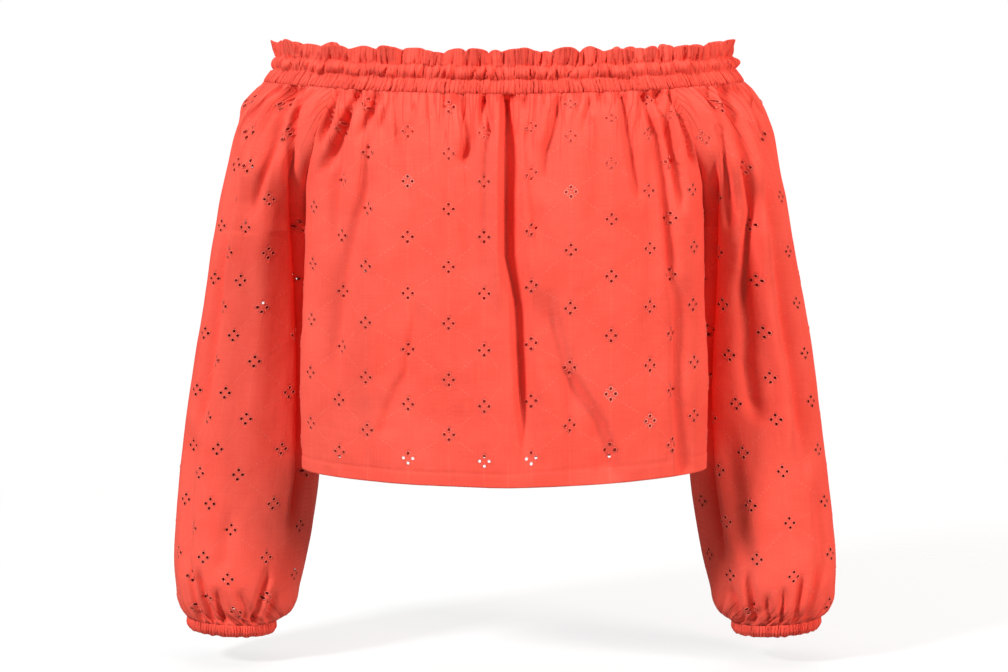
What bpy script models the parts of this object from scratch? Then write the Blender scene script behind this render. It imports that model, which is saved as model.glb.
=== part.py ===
"""Cropped off-shoulder blouse with long balloon sleeves, filled out as if worn.

Every cut piece is one closed wall of cloth: front, back, two raglan sleeves, the gathered
neck band and two elastic cuffs. The wearer faces -Y, +Z is up, and the origin lies in the
middle of the neck opening, level with the upper edge of the neck elastic at centre front.

Levels are heights in millimetres at centre front. Sections of the body and of each sleeve
are worked out level by level from the two tables below, and the folds are pushed out of
or into those sections along their outward direction.
"""
from typing import NamedTuple

import bmesh
import bpy
import numpy as np

MM = 0.001

# Driving dimensions, in millimetres
CLOTH = 1.2              # wall of one layer of gathered cotton
BAND_WALL = 2.4          # neck band: two layers with the elastic between them
CUFF_WALL = 2.2
SEAM_GAP = 0.3           # air between two pieces that are sewn together
EDGE_TRIM = 0.5          # a panel's edge stops this far short of its seam line
NECK_LEVEL = -12.0       # lower edge of the neck band
HEADING_LEVEL = 25.0     # top of the ruffle heading
UNDERARM_LEVEL = -135.0
HEM_LEVEL = -342.5
SLEEVE_END_LEVEL = -491.0
CUFF_END_LEVEL = -502.0
NECK_LIFT = 10.3         # the neck edge rises this much from centre front to the shoulder
NECK_LIFT_END = -95.0    # level at which that rise has died out
HEM_DIP = 9.2            # the hem hangs this much lower at centre front than at the sides
HEM_DIP_START = -200.0   # level at which that dip sets in
HEM_DIP_POWER = 1.5      # its curve: 1 is a straight V, 2 a round bow
CUFF_X = 249.7           # middle of each cuff
CUFF_Y = 24.0
CUFF_RADIUS = 39.4
CUFF_TILT = 2.5          # inner side of a cuff hangs lower, its outer side higher


class BodyRow(NamedTuple):
    """One section of the body: two half superellipses that meet at its widest plane."""
    level: float
    half_width: float
    front: float         # y of centre front
    back: float          # y of centre back
    widest: float        # y of the widest plane
    front_power: float
    back_power: float


class SleeveRow(NamedTuple):
    """One section of a sleeve, from its front seam round the outside to its back seam."""
    level: float
    outer: float         # x of the outermost point
    inner: float         # x of the innermost point, used below the underarm
    middle: float        # y of the outermost point
    front_half: float    # half depth towards the front
    back_half: float     # half depth towards the back
    front_turn: float    # degrees from the outermost point to the front seam
    back_turn: float     # degrees from the outermost point to the back seam


class Fold(NamedTuple):
    """One soft fold; a height below zero is a trough. Across is mm, or degrees on a sleeve."""
    top_across: float
    top_level: float
    end_across: float
    end_level: float
    width: float
    height: float


class BandRow(NamedTuple):
    """One row of the neck band's outer side."""
    level: float
    lean: float          # how far the ring has drawn in at the shoulder
    puff: float          # how far the cloth stands proud of the ring
    wave: float          # depth of the ruffle waves or puffs, 36 round the ring
    rib: float           # depth of the gathers on the elastic


BODY = (
    BodyRow(-12, 215, -92, 88, -2, 2.0, 2.0),
    BodyRow(-30, 208, -104, 94, -9, 2.1, 2.1),
    BodyRow(-48, 193, -110, 96, -18, 2.2, 2.3),
    BodyRow(-78, 176, -114, 95, -30, 2.4, 2.5),
    BodyRow(-105, 174, -116, 93, -36, 2.5, 2.5),
    BodyRow(-135, 175, -117, 90, -39, 2.5, 2.4),
    BodyRow(-190, 177, -117, 85, -40, 2.5, 2.3),
    BodyRow(-250, 179, -115, 82, -40, 2.5, 2.3),
    BodyRow(-310, 180, -114, 83, -40, 2.5, 2.3),
    BodyRow(-355, 180, -113, 85, -40, 2.5, 2.3),
)

SLEEVE = (
    SleeveRow(-12, 214.8, 150, -2, 90, 90, 46, 46),
    SleeveRow(-30, 228.0, 156, 0, 84, 70, 63, 61),
    SleeveRow(-50, 238.5, 160, 3, 76, 57, 80, 80),
    SleeveRow(-78, 247.0, 165, 7, 70, 53, 114, 135),
    SleeveRow(-105, 253.5, 168, 10, 60, 51, 144, 155),
    SleeveRow(-135, 259.5, 170, 12, 54, 50, 180, 180),
    SleeveRow(-165, 265.5, 171, 18, 51, 48, 180, 180),
    SleeveRow(-200, 272.0, 171, 25, 50, 48, 180, 180),
    SleeveRow(-250, 281.0, 170, 32, 50, 50, 180, 180),
    SleeveRow(-310, 290.6, 169, 35, 51, 52, 180, 180),
    SleeveRow(-365, 297.8, 170.5, 34, 53, 54, 180, 180),
    SleeveRow(-400, 301.0, 175.5, 31, 55, 55, 180, 180),
    SleeveRow(-438, 303.7, 182.7, 28, 55, 55, 180, 180),
    SleeveRow(-460, 302.6, 188.5, 26, 53, 53, 180, 180),
    SleeveRow(-478, 300.2, 193.8, 25, 48, 48, 180, 180),
    SleeveRow(-486, 296.2, 200.5, 24, 43, 43, 180, 180),
    SleeveRow(-491, 291.0, 208.5, 24, 40, 40, 180, 180),
)

# Folds of the front, x across
FRONT_FOLDS = (
    Fold(-10, -2, -4, -130, 8, 2.6),
    Fold(12, -2, 12, -300, 10, -5.0),
    Fold(34, -2, 30, -150, 9, 2.2),
    Fold(-42, -2, -38, -110, 8, -2.6),
    Fold(-72, -2, -84, -140, 10, 2.4),
    Fold(58, -2, 62, -120, 8, -2.8),
    Fold(92, -2, 104, -130, 9, -2.4),
    Fold(-106, -2, -146, -84, 8, -3.0),
    Fold(116, -2, 154, -110, 8, -3.0),
    Fold(-60, -150, -30, -345, 26, 2.2),
    Fold(86, -170, 60, -345, 24, 2.4),
)

# Folds of the back, x across
BACK_FOLDS = (
    Fold(4, -2, -6, -260, 11, -4.4),
    Fold(-30, -2, -34, -140, 9, 2.4),
    Fold(36, -2, 44, -120, 9, -2.6),
    Fold(-70, -2, -76, -120, 9, -2.6),
    Fold(78, -2, 88, -150, 10, 2.2),
    Fold(-112, -2, -146, -100, 9, -2.8),
    Fold(114, -2, 150, -90, 9, -2.8),
    Fold(48, -160, 26, -345, 25, 2.2),
    Fold(-80, -180, -60, -345, 24, 2.2),
)

# Folds of a sleeve, degrees from its outermost point, below zero towards the front
SLEEVE_FOLDS = (
    Fold(-16, -2, -62, -300, 9, -3.6),
    Fold(-34, -2, -100, -250, 10, -3.4),
    Fold(10, -2, 18, -180, 9, -3.0),
    Fold(34, -2, 90, -240, 10, -3.2),
    Fold(-50, -210, -74, -470, 14, -3.2),
    Fold(-108, -300, -96, -485, 12, -3.0),
    Fold(20, -260, 34, -480, 16, -3.0),
    Fold(112, -240, 96, -480, 14, -3.0),
)

# The neck band from its lower edge up: elastic casing, puffed channel, ruffle heading
BAND = (
    BandRow(-12.0, 1.8, 0.6, 0.0, 0.5),
    BandRow(-6.0, 6.0, 1.2, 0.0, 0.7),
    BandRow(-0.6, 9.0, 0.5, 0.3, 0.5),
    BandRow(2.4, 10.2, 2.0, 0.9, 0.0),
    BandRow(5.8, 11.2, 2.8, 1.2, 0.0),
    BandRow(9.2, 11.6, 1.8, 0.8, 0.0),
    BandRow(11.4, 12.0, 0.3, 0.6, 0.0),
    BandRow(17.5, 12.6, 1.2, 2.0, 0.0),
    BandRow(25.0, 13.4, 2.0, 2.6, 0.0),
)
BAND_INNER_ROWS = (0, 2, 6, 8)   # rows of the outer side that the plain inner side follows
BAND_WAVES = 36
BAND_COLUMNS = BAND_WAVES * 4
BAND_DEPTH_LEAN = 0.4            # share of the lean that the front and back draw in
WAVE_DRIFT = 0.35                # how far, in radians, the waves stray from an even spacing
PUFF_SHIFT = 1.6                 # the channel's puffs lie this far, in radians, off the waves
PINCH_LEVEL = 10.0               # the heading stands above it, the two channels lie below
HEADING_WALL = 1.0               # the heading has no elastic between its layers
HEADING_SCALLOP = 1.2            # rise and fall of the heading's top edge

CUFF_RIBS = 20
CUFF_COLUMNS = CUFF_RIBS * 3
CUFF_RIB_DEPTH = 0.7
CUFF_CROWN = 0.6                 # a cuff is this much fuller midway between its edges

PANEL_COLUMNS = 36
PANEL_ROWS = 18
SLEEVE_COLUMNS = 24
ARMHOLE_ROWS = 6
ARM_ROWS = 14
ROW_CROWDING = 1.5               # above 1, the rows of a sleeve lie closer towards its cuff

PANEL_GATHERS = 6                # small gathers under the band on each half of a panel
SLEEVE_GATHERS = 3
GATHER_DEPTH = 1.3
GATHER_DRIFT = 0.3               # how far they stray from an even spacing, in gathers
GATHER_REACH = 26.0              # they fade over this drop
CUFF_GATHERS = 4                 # gathers above the cuff on each half of a sleeve
CUFF_GATHER_DEPTH = 1.8
CUFF_GATHER_REACH = 30.0
LEVEL_SLACK = 0.001              # the grid's rounding, when a row is told to lie at the underarm
PANEL_CALM = 0.06                # share of a panel next to its seam that the folds leave
SLEEVE_CALM = 0.25
SLEEVE_SIDE = 80.0               # rough length round a sleeve from its outermost point to a seam


def column(rows, name, at):
    """Smooth curve through one named column of a table, read at the given levels."""
    keys = np.array([row.level for row in rows][::-1], float)
    values = np.array([getattr(row, name) for row in rows][::-1], float)
    slopes = np.gradient(values, keys)
    at = np.clip(np.asarray(at, float), keys[0], keys[-1])
    left = np.clip(np.searchsorted(keys, at) - 1, 0, len(keys) - 2)
    step = keys[left + 1] - keys[left]
    t = (at - keys[left]) / step
    return ((2 * t**3 - 3 * t**2 + 1) * values[left]
            + (t**3 - 2 * t**2 + t) * step * slopes[left]
            + (3 * t**2 - 2 * t**3) * values[left + 1]
            + (t**3 - t**2) * step * slopes[left + 1])


def ramp(low, high, at):
    """Soft step from 0 at low to 1 at high."""
    t = np.clip((at - low) / (high - low), 0, 1)
    return t * t * (3 - 2 * t)


def lifted(level, x):
    """Height of a point: its level, the rise of the neck to the shoulder, the hem's dip."""
    rise = NECK_LIFT * (1 - ramp(NECK_LEVEL, NECK_LIFT_END, level)) * (x / BODY[0].half_width) ** 2
    side = np.abs(x / BODY[-1].half_width) ** HEM_DIP_POWER
    dip = HEM_DIP * ramp(HEM_DIP_START, HEM_LEVEL, level) * np.clip(1 - side, 0, 1)
    return level + rise - dip


def fold_height(folds, across, level):
    """Sum of the soft folds: a bell across each one, fading in at its top and out at its end."""
    height = np.zeros(np.broadcast(across, level).shape)
    for fold in folds:
        along = (fold.top_level - level) / (fold.top_level - fold.end_level)
        centre = fold.top_across + (fold.end_across - fold.top_across) * along
        strength = ramp(-0.15, 0.12, along) * (1 - ramp(0.5, 1.0, along))
        height = height + fold.height * strength * np.exp(-((across - centre) / fold.width) ** 2)
    return height


def last_turn(level, front):
    """Turn in radians from a sleeve's outermost point to its seam, half a circle if closed."""
    name = "front_turn" if front else "back_turn"
    return np.radians(np.minimum(column(SLEEVE, name, level), 180.0))


def gathers(u, level, count):
    """Small gathers under the band, a slightly uneven cosine that fades down the cloth."""
    wave = np.cos(2 * np.pi * (count * u + GATHER_DRIFT * np.sin(5 * u + 1)))
    return GATHER_DEPTH * wave * np.exp((level - NECK_LEVEL) / GATHER_REACH)


def seam_y(level, front):
    """y of the sleeve's front or back seam, which is the side seam below the underarm."""
    half = column(SLEEVE, "front_half" if front else "back_half", level)
    reach = half * np.sin(last_turn(level, front))
    middle = column(SLEEVE, "middle", np.maximum(level, UNDERARM_LEVEL))
    reach = np.where(level > UNDERARM_LEVEL, reach, 0.0)
    return middle - reach if front else middle + reach


def body_section(level, turn):
    """Point and outward direction of the body at a turn in radians from centre front."""
    is_front = np.abs(turn) <= np.pi / 2
    widest = column(BODY, "widest", level)
    depth = np.where(is_front, widest - column(BODY, "front", level),
                     column(BODY, "back", level) - widest)
    power = np.where(is_front, column(BODY, "front_power", level),
                     column(BODY, "back_power", level))
    width = column(BODY, "half_width", level)
    across, along = np.sin(turn), -np.cos(turn)
    size = (np.abs(across) ** power + np.abs(along) ** power) ** (-1 / power)
    out_x = np.sign(across) * np.abs(across * size) ** (power - 1) / width
    out_y = np.sign(along) * np.abs(along * size) ** (power - 1) / depth
    length = np.hypot(out_x, out_y)
    return width * across * size, widest + depth * along * size, out_x / length, out_y / length


def seam_turn(level, front):
    """Turn, in radians from centre front, at which the body meets its seam with the sleeve."""
    widest = column(BODY, "widest", level)
    drop = seam_y(level, front) - widest
    is_front = drop < 0
    depth = np.where(is_front, widest - column(BODY, "front", level),
                     column(BODY, "back", level) - widest)
    power = np.where(is_front, column(BODY, "front_power", level),
                     column(BODY, "back_power", level))
    share = np.clip(np.abs(drop) / depth, 0, 1)
    across = (1 - share**power) ** (1 / power)
    return np.arctan2(across, -np.sign(drop) * share)


def seam_x(level, front):
    """x of the seam between the body and the sleeve on the wearer's left."""
    return body_section(level, seam_turn(level, front))[0]


def panel_point(u, v, front):
    """Front or back panel: u from -1 to 1 across it, v from 0 at the neck to 1 at the hem."""
    level = NECK_LEVEL - SEAM_GAP + (HEM_LEVEL - NECK_LEVEL + SEAM_GAP) * v
    edge = seam_turn(level, front)
    if not front:
        edge = np.pi - edge
    trim = 1 - EDGE_TRIM / column(BODY, "half_width", level)
    turn = u * edge * trim
    x, y, out_x, out_y = body_section(level, turn if front else np.pi - turn)
    calm = ramp(0, PANEL_CALM, 1 - np.abs(u))
    folds = FRONT_FOLDS if front else BACK_FOLDS
    push = (fold_height(folds, x, level) + gathers(u, level, PANEL_GATHERS)) * calm
    return x + push * out_x, y + push * out_y, lifted(level, x)


def sleeve_point(u, v, side):
    """Sleeve: u from -1 at its front seam to 1 at its back seam, v from 0 at the neck."""
    split = ARMHOLE_ROWS / (ARMHOLE_ROWS + ARM_ROWS)
    armhole = NECK_LEVEL - SEAM_GAP + (UNDERARM_LEVEL - NECK_LEVEL + SEAM_GAP) * v / split
    down = 1 - np.clip((1 - v) / (1 - split), 0, 1) ** ROW_CROWDING
    arm = UNDERARM_LEVEL + (SLEEVE_END_LEVEL - UNDERARM_LEVEL + SEAM_GAP) * down
    level = np.where(v < split - LEVEL_SLACK, armhole, arm)
    is_front = u < 0
    half = np.where(is_front, column(SLEEVE, "front_half", level),
                    column(SLEEVE, "back_half", level))
    last = np.where(is_front, last_turn(level, True), last_turn(level, False))
    open_seam = level > UNDERARM_LEVEL + LEVEL_SLACK
    edge = np.where(is_front, seam_x(level, True), seam_x(level, False))
    edge = np.where(open_seam, edge, column(SLEEVE, "inner", level))
    outer = column(SLEEVE, "outer", level)
    trim = np.where(open_seam, 1 - EDGE_TRIM / SLEEVE_SIDE, 1.0)
    turn = np.abs(u) * last * trim
    round_x = (outer - edge) / (1 - np.cos(last))
    x = edge + round_x * (np.cos(turn) - np.cos(last))
    way = np.where(is_front, -1.0, 1.0)
    y = column(SLEEVE, "middle", level) + way * half * np.sin(turn)
    out_x, out_y = np.cos(turn) / round_x, way * np.sin(turn) / half
    length = np.hypot(out_x, out_y)
    calm = ramp(0, SLEEVE_CALM, 1 - np.abs(u))
    folds = fold_height(SLEEVE_FOLDS, way * np.degrees(turn), level)
    push = (folds + gathers(u, level, SLEEVE_GATHERS)) * calm
    cuff_fade = np.exp((SLEEVE_END_LEVEL - level) / CUFF_GATHER_REACH)
    cuff_gathers = CUFF_GATHER_DEPTH * np.cos(2 * np.pi * CUFF_GATHERS * u)
    push = push * (1 - cuff_fade) + cuff_gathers * cuff_fade
    x = x + push * out_x / length
    y = y + push * out_y / length
    tilt = cuff_fade * CUFF_TILT * (x - CUFF_X) / CUFF_RADIUS
    return side * x, y, lifted(level, x) + tilt


def band_point(turn, level, lean, out):
    """Neck band: a turn round the ring from centre front, at a level, pushed out."""
    across, along = np.sin(turn), -np.cos(turn)
    width = BODY[0].half_width - lean
    depth = (BODY[0].back - BODY[0].front) / 2 - BAND_DEPTH_LEAN * lean
    out_x, out_y = across / width, along / depth
    length = np.hypot(out_x, out_y)
    x = width * across + out * out_x / length
    y = BODY[0].widest + depth * along + out * out_y / length
    return x, y, lifted(np.minimum(level, NECK_LEVEL), x) + level - np.minimum(level, NECK_LEVEL)


def ruffle_waves(turn, shift=0.0):
    """The waves round the ring, between -1 and 1, a little uneven in their spacing."""
    return np.cos(BAND_WAVES * turn + WAVE_DRIFT * np.sin(3 * turn + 0.7) + shift)


def band_outer(u, v):
    """Outer side of the neck band, with its waves, puffs and gathers."""
    row = np.rint(v * (len(BAND) - 1)).astype(int)
    level, lean, puff, wave, rib = (np.array(BAND)[row, i] for i in range(5))
    turn = 2 * np.pi * u
    waves = ruffle_waves(turn)
    puffs = ruffle_waves(turn, PUFF_SHIFT)
    out = puff + wave * np.where(level < PINCH_LEVEL, puffs, waves)
    out = out + rib * np.cos(BAND_WAVES * turn)
    level = level + np.where(row == len(BAND) - 1, HEADING_SCALLOP * waves, 0)
    return band_point(turn, level, lean, out)


def band_inner(u, v):
    """Inner side of the neck band, plain but for the heading, whose whole wall waves."""
    row = np.array(BAND_INNER_ROWS)[np.rint(v * (len(BAND_INNER_ROWS) - 1)).astype(int)]
    level, lean, _, wave, _ = (np.array(BAND)[row, i] for i in range(5))
    turn = 2 * np.pi * u
    waves = ruffle_waves(turn)
    ruffle = np.where(level < PINCH_LEVEL, 0, wave)
    wall = np.where(level < PINCH_LEVEL, BAND_WALL, HEADING_WALL)
    level = level + np.where(row == len(BAND) - 1, HEADING_SCALLOP * waves, 0)
    return band_point(turn, level, lean, ruffle * waves - wall)


def cuff_outer(u, v, side):
    """Outer side of a cuff: a ring of gathers, deepest between its two edges."""
    turn = 2 * np.pi * u
    level = SLEEVE_END_LEVEL + (CUFF_END_LEVEL - SLEEVE_END_LEVEL) * (1 - v)
    ribs = CUFF_RIB_DEPTH * np.cos(CUFF_RIBS * turn)
    out = CUFF_RADIUS + CUFF_CROWN * np.sin(np.pi * v) + ribs
    return cuff_point(turn, level, out, side)


def cuff_inner(u, v, side):
    """Plain inner side of a cuff."""
    level = SLEEVE_END_LEVEL + (CUFF_END_LEVEL - SLEEVE_END_LEVEL) * (1 - v)
    return cuff_point(2 * np.pi * u, level, CUFF_RADIUS - CUFF_WALL, side)


def cuff_point(turn, level, radius, side):
    """Point of a cuff at a turn, level and radius."""
    x = radius * np.sin(turn)
    z = level + CUFF_TILT * x / CUFF_RADIUS
    return side * (CUFF_X + x), CUFF_Y - radius * np.cos(turn), z


def mapped_grid(mesh, columns, rows, surface, low=-1.0):
    """Add a grid to a bmesh and lay it on a surface; u runs from low to 1 and v from 0 to 1."""
    grid = bmesh.ops.create_grid(mesh, x_segments=columns, y_segments=rows, size=0.5)
    flat = np.array([vertex.co[:] for vertex in grid["verts"]])
    u = low + (1 - low) * (flat[:, 0] + 0.5)
    x, y, z = surface(u, flat[:, 1] + 0.5)
    for vertex, place in zip(grid["verts"], np.column_stack((x, y, z)) * MM):
        vertex.co = place
    return grid["verts"]


def finished(name, mesh, colour, wall=0.0):
    """Make the object: outward faces, one material, smooth shading and the cloth's wall."""
    data = bpy.data.meshes.new(name)
    mesh.to_mesh(data)
    mesh.free()
    data.shade_smooth()
    piece = bpy.data.objects.new(name, data)
    collection.objects.link(piece)
    material = bpy.data.materials.new(name)
    material.use_nodes = True
    shader = material.node_tree.nodes["Principled BSDF"]
    shader.inputs["Base Color"].default_value = (*colour, 1)
    shader.inputs["Roughness"].default_value = 0.85
    shader.inputs["Metallic"].default_value = 0.0
    data.materials.append(material)
    if wall:
        solid = piece.modifiers.new("Wall", "SOLIDIFY")
        solid.thickness = wall * MM
        solid.offset = -1
        solid.use_even_offset = False
    return piece


def cloth_panel(name, columns, rows, surface, inside_out, colour):
    """One cut piece: a mapped grid, closed where its edges meet, with the cloth's wall."""
    mesh = bmesh.new()
    mapped_grid(mesh, columns, rows, surface)
    bmesh.ops.remove_doubles(mesh, verts=mesh.verts, dist=0.02 * MM)
    if inside_out:
        bmesh.ops.reverse_faces(mesh, faces=mesh.faces)
    return finished(name, mesh, colour, CLOTH)


def gathered_ring(name, columns, outer, outer_rows, inner, inner_rows, inside_out, colour):
    """A ring with a shaped outer side and its own inner side, joined along both edges."""
    mesh = bmesh.new()
    sides = ((outer, outer_rows, inside_out), (inner, inner_rows, not inside_out))
    for surface, rows, turned in sides:
        before = set(mesh.faces)
        mapped_grid(mesh, columns, rows, surface, low=0.0)
        added = [face for face in mesh.faces if face not in before]
        if turned:
            bmesh.ops.reverse_faces(mesh, faces=added)
    bmesh.ops.remove_doubles(mesh, verts=mesh.verts, dist=0.02 * MM)
    open_edges = [edge for edge in mesh.edges if edge.is_boundary]
    heights = [(edge.verts[0].co.z + edge.verts[1].co.z) / 2 for edge in open_edges]
    middle = (min(heights) + max(heights)) / 2
    for upper in (True, False):
        rim = [edge for edge, height in zip(open_edges, heights) if (height > middle) == upper]
        bmesh.ops.bridge_loops(mesh, edges=rim)
    return finished(name, mesh, colour)


for leftover in list(bpy.data.objects):
    bpy.data.objects.remove(leftover)

collection = bpy.data.collections.new("OffShoulderBlouse")
bpy.context.scene.collection.children.link(collection)

CORAL = (0.90, 0.13, 0.09)
DEEP_CORAL = (0.82, 0.10, 0.07)

cloth_panel("front", PANEL_COLUMNS, PANEL_ROWS,
            lambda u, v: panel_point(u, v, True), True, CORAL)
cloth_panel("back", PANEL_COLUMNS, PANEL_ROWS,
            lambda u, v: panel_point(u, v, False), False, CORAL)
gathered_ring("neck_band", BAND_COLUMNS, band_outer, len(BAND) - 1,
              band_inner, len(BAND_INNER_ROWS) - 1, False, DEEP_CORAL)
for word, hand in (("left", 1), ("right", -1)):
    cloth_panel("sleeve_" + word, SLEEVE_COLUMNS, ARMHOLE_ROWS + ARM_ROWS,
                lambda u, v, hand=hand: sleeve_point(u, v, hand), hand > 0, CORAL)
    gathered_ring("cuff_" + word, CUFF_COLUMNS,
                  lambda u, v, hand=hand: cuff_outer(u, v, hand), 3,
                  lambda u, v, hand=hand: cuff_inner(u, v, hand), 1, hand < 0, DEEP_CORAL)
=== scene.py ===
"""Looks of a cropped off-shoulder blouse of eyelet cotton, filled out as if worn.

The cloth is built on the same sections as the solids: a body and two sleeves whose sections
are worked out level by level, with creases pushed into them, eyelets cut through
the cloth, embroidered rims round them, a gathered neck band and two elastic cuffs. The
wearer faces -Y and +Z is up. Tables are in millimetres and meshes in metres.

A point of cloth is the section's point plus its outward direction times the push. The push is
the sum of the creases, the gathers, the long folds and a soft noise. A crease is a bell across
its path, its height times RELIEF, faded at both ends. The push grows from nearly nothing at
the neck's seam line, so the cloth stays under the band.
"""
import logging
import math
from dataclasses import dataclass
from enum import Enum
from typing import Callable, NamedTuple

import bpy
import numpy as np
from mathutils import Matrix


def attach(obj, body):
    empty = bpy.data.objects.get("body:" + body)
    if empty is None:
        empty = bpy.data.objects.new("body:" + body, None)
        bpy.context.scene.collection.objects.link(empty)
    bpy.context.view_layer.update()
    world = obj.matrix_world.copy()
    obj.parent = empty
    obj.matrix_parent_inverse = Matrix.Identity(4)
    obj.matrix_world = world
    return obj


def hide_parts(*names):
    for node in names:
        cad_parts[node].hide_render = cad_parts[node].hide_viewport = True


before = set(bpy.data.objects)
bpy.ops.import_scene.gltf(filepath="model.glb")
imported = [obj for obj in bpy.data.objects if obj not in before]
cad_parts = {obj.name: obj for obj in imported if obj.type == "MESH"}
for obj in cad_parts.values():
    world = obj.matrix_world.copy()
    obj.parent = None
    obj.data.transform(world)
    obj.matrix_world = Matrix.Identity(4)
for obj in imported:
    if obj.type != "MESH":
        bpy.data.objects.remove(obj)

MM = 0.001
log = logging.getLogger("blouse")


# Small mathematics

def ramp(low: float, high: float, at: np.ndarray) -> np.ndarray:
    """Soft step: 0 at low, 1 at high, three t squared less two t cubed between them."""
    t = np.clip((at - low) / (high - low), 0, 1)
    return t * t * (3 - 2 * t)


def smooth_curve(keys: np.ndarray, values: np.ndarray, at: np.ndarray) -> np.ndarray:
    """Cubic Hermite curve through rising keys, its slopes taken from neighbouring keys.

    Args:
        keys: places where the curve is known, rising.
        values: the curve's value at each key.
        at: places to read it, held within the keys.

    Returns:
        The curve's value at each place.
    """
    slopes = np.gradient(values, keys)
    at = np.clip(np.asarray(at, float), keys[0], keys[-1])
    left = np.clip(np.searchsorted(keys, at) - 1, 0, len(keys) - 2)
    step = keys[left + 1] - keys[left]
    t = (at - keys[left]) / step
    return ((2 * t**3 - 3 * t**2 + 1) * values[left]
            + (t**3 - 2 * t**2 + t) * step * slopes[left]
            + (3 * t**2 - 2 * t**3) * values[left + 1]
            + (t**3 - t**2) * step * slopes[left + 1])


def column(rows: tuple, name: str, at: np.ndarray) -> np.ndarray:
    """Smooth curve through one named column of a table of levels, listed from the top down."""
    keys = np.array([row.level for row in rows][::-1], float)
    values = np.array([getattr(row, name) for row in rows][::-1], float)
    return smooth_curve(keys, values, at)


def soft_noise(seed: int, waves: int, shortest: float, longest: float,
               *places: np.ndarray) -> np.ndarray:
    """Sum of sine waves in random directions, lengths and phases, between about -1 and 1.

    Args:
        seed: seed of the random directions.
        waves: how many sine waves are added.
        shortest: shortest wavelength, in the unit of the places.
        longest: longest wavelength.
        places: one to three coordinates, of one shape.

    Returns:
        The noise at each place.
    """
    random = np.random.default_rng(seed)
    total = np.zeros(np.broadcast(*places).shape)
    for _ in range(waves):
        direction = random.normal(size=len(places))
        direction /= np.linalg.norm(direction)
        number = 2 * np.pi / random.uniform(shortest, longest)
        phase = random.uniform(0, 2 * np.pi)
        total = total + np.sin(sum(d * p for d, p in zip(direction, places)) * number + phase)
    return total / math.sqrt(waves)


class Cells(NamedTuple):
    """Where a set of places falls in a row of uneven cells."""
    index: np.ndarray
    share: np.ndarray        # 0 at a cell's start, 1 at its end
    chance: np.ndarray       # one random number from 0 to 1 for each cell
    other: np.ndarray        # a second one


@dataclass(frozen=True)
class UnevenRow:
    """A closed row of cells of uneven width, such as puffs or pleats round a band."""
    length: float
    narrowest: float
    widest: float
    seed: int

    def find(self, at: np.ndarray) -> Cells:
        """Find the cell of each place: widths are random and scaled to fill the row.

        Args:
            at: places along the row, which repeats after its length.

        Returns:
            The cells of the places.
        """
        random = np.random.default_rng(self.seed)
        count = round(self.length / (0.5 * (self.narrowest + self.widest)))
        widths = random.uniform(self.narrowest, self.widest, count)
        edges = np.concatenate(([0.0], np.cumsum(widths))) * (self.length / widths.sum())
        chance, other = random.uniform(0, 1, count), random.uniform(0, 1, count)
        at = np.mod(at, self.length)
        index = np.clip(np.searchsorted(edges, at, side="right") - 1, 0, count - 1)
        share = (at - edges[index]) / (edges[index + 1] - edges[index])
        return Cells(index, share, chance[index], other[index])


def hump(share: np.ndarray, power: float) -> np.ndarray:
    """Rounded hump over a cell: the sine of pi times the share, to a power."""
    return np.clip(np.sin(np.pi * np.clip(share, 0, 1)), 0, 1) ** power


# The form shared with the solids

NECK_LEVEL = -12.0
HEADING_LEVEL = 25.0
SEAM_GAP = 0.3
UNDERARM_LEVEL = -135.0
HEM_LEVEL = -342.5
SLEEVE_END_LEVEL = -491.0
CUFF_END_LEVEL = -502.0
NECK_LIFT = 10.3
NECK_LIFT_END = -95.0
HEM_DIP = 9.2
HEM_DIP_START = -200.0
HEM_DIP_POWER = 1.5
CUFF_X = 249.7
CUFF_Y = 24.0
CUFF_RADIUS = 39.4
CUFF_TILT = 2.5


class BodyRow(NamedTuple):
    """One section of the body: two half superellipses that meet at its widest plane."""
    level: float
    half_width: float
    front: float
    back: float
    widest: float
    front_power: float
    back_power: float


class SleeveRow(NamedTuple):
    """One section of a sleeve, from its front seam round the outside to its back seam."""
    level: float
    outer: float
    inner: float
    middle: float
    front_half: float
    back_half: float
    front_turn: float
    back_turn: float


class BandRow(NamedTuple):
    """One row of the neck band: how far its ring draws in, and how far it stands proud."""
    level: float
    lean: float
    puff: float


BODY = (
    BodyRow(-12, 215, -92, 88, -2, 2.0, 2.0),
    BodyRow(-30, 208, -104, 94, -9, 2.1, 2.1),
    BodyRow(-48, 193, -110, 96, -18, 2.2, 2.3),
    BodyRow(-78, 176, -114, 95, -30, 2.4, 2.5),
    BodyRow(-105, 174, -116, 93, -36, 2.5, 2.5),
    BodyRow(-135, 175, -117, 90, -39, 2.5, 2.4),
    BodyRow(-190, 177, -117, 85, -40, 2.5, 2.3),
    BodyRow(-250, 179, -115, 82, -40, 2.5, 2.3),
    BodyRow(-310, 180, -114, 83, -40, 2.5, 2.3),
    BodyRow(-355, 180, -113, 85, -40, 2.5, 2.3),
)

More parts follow.
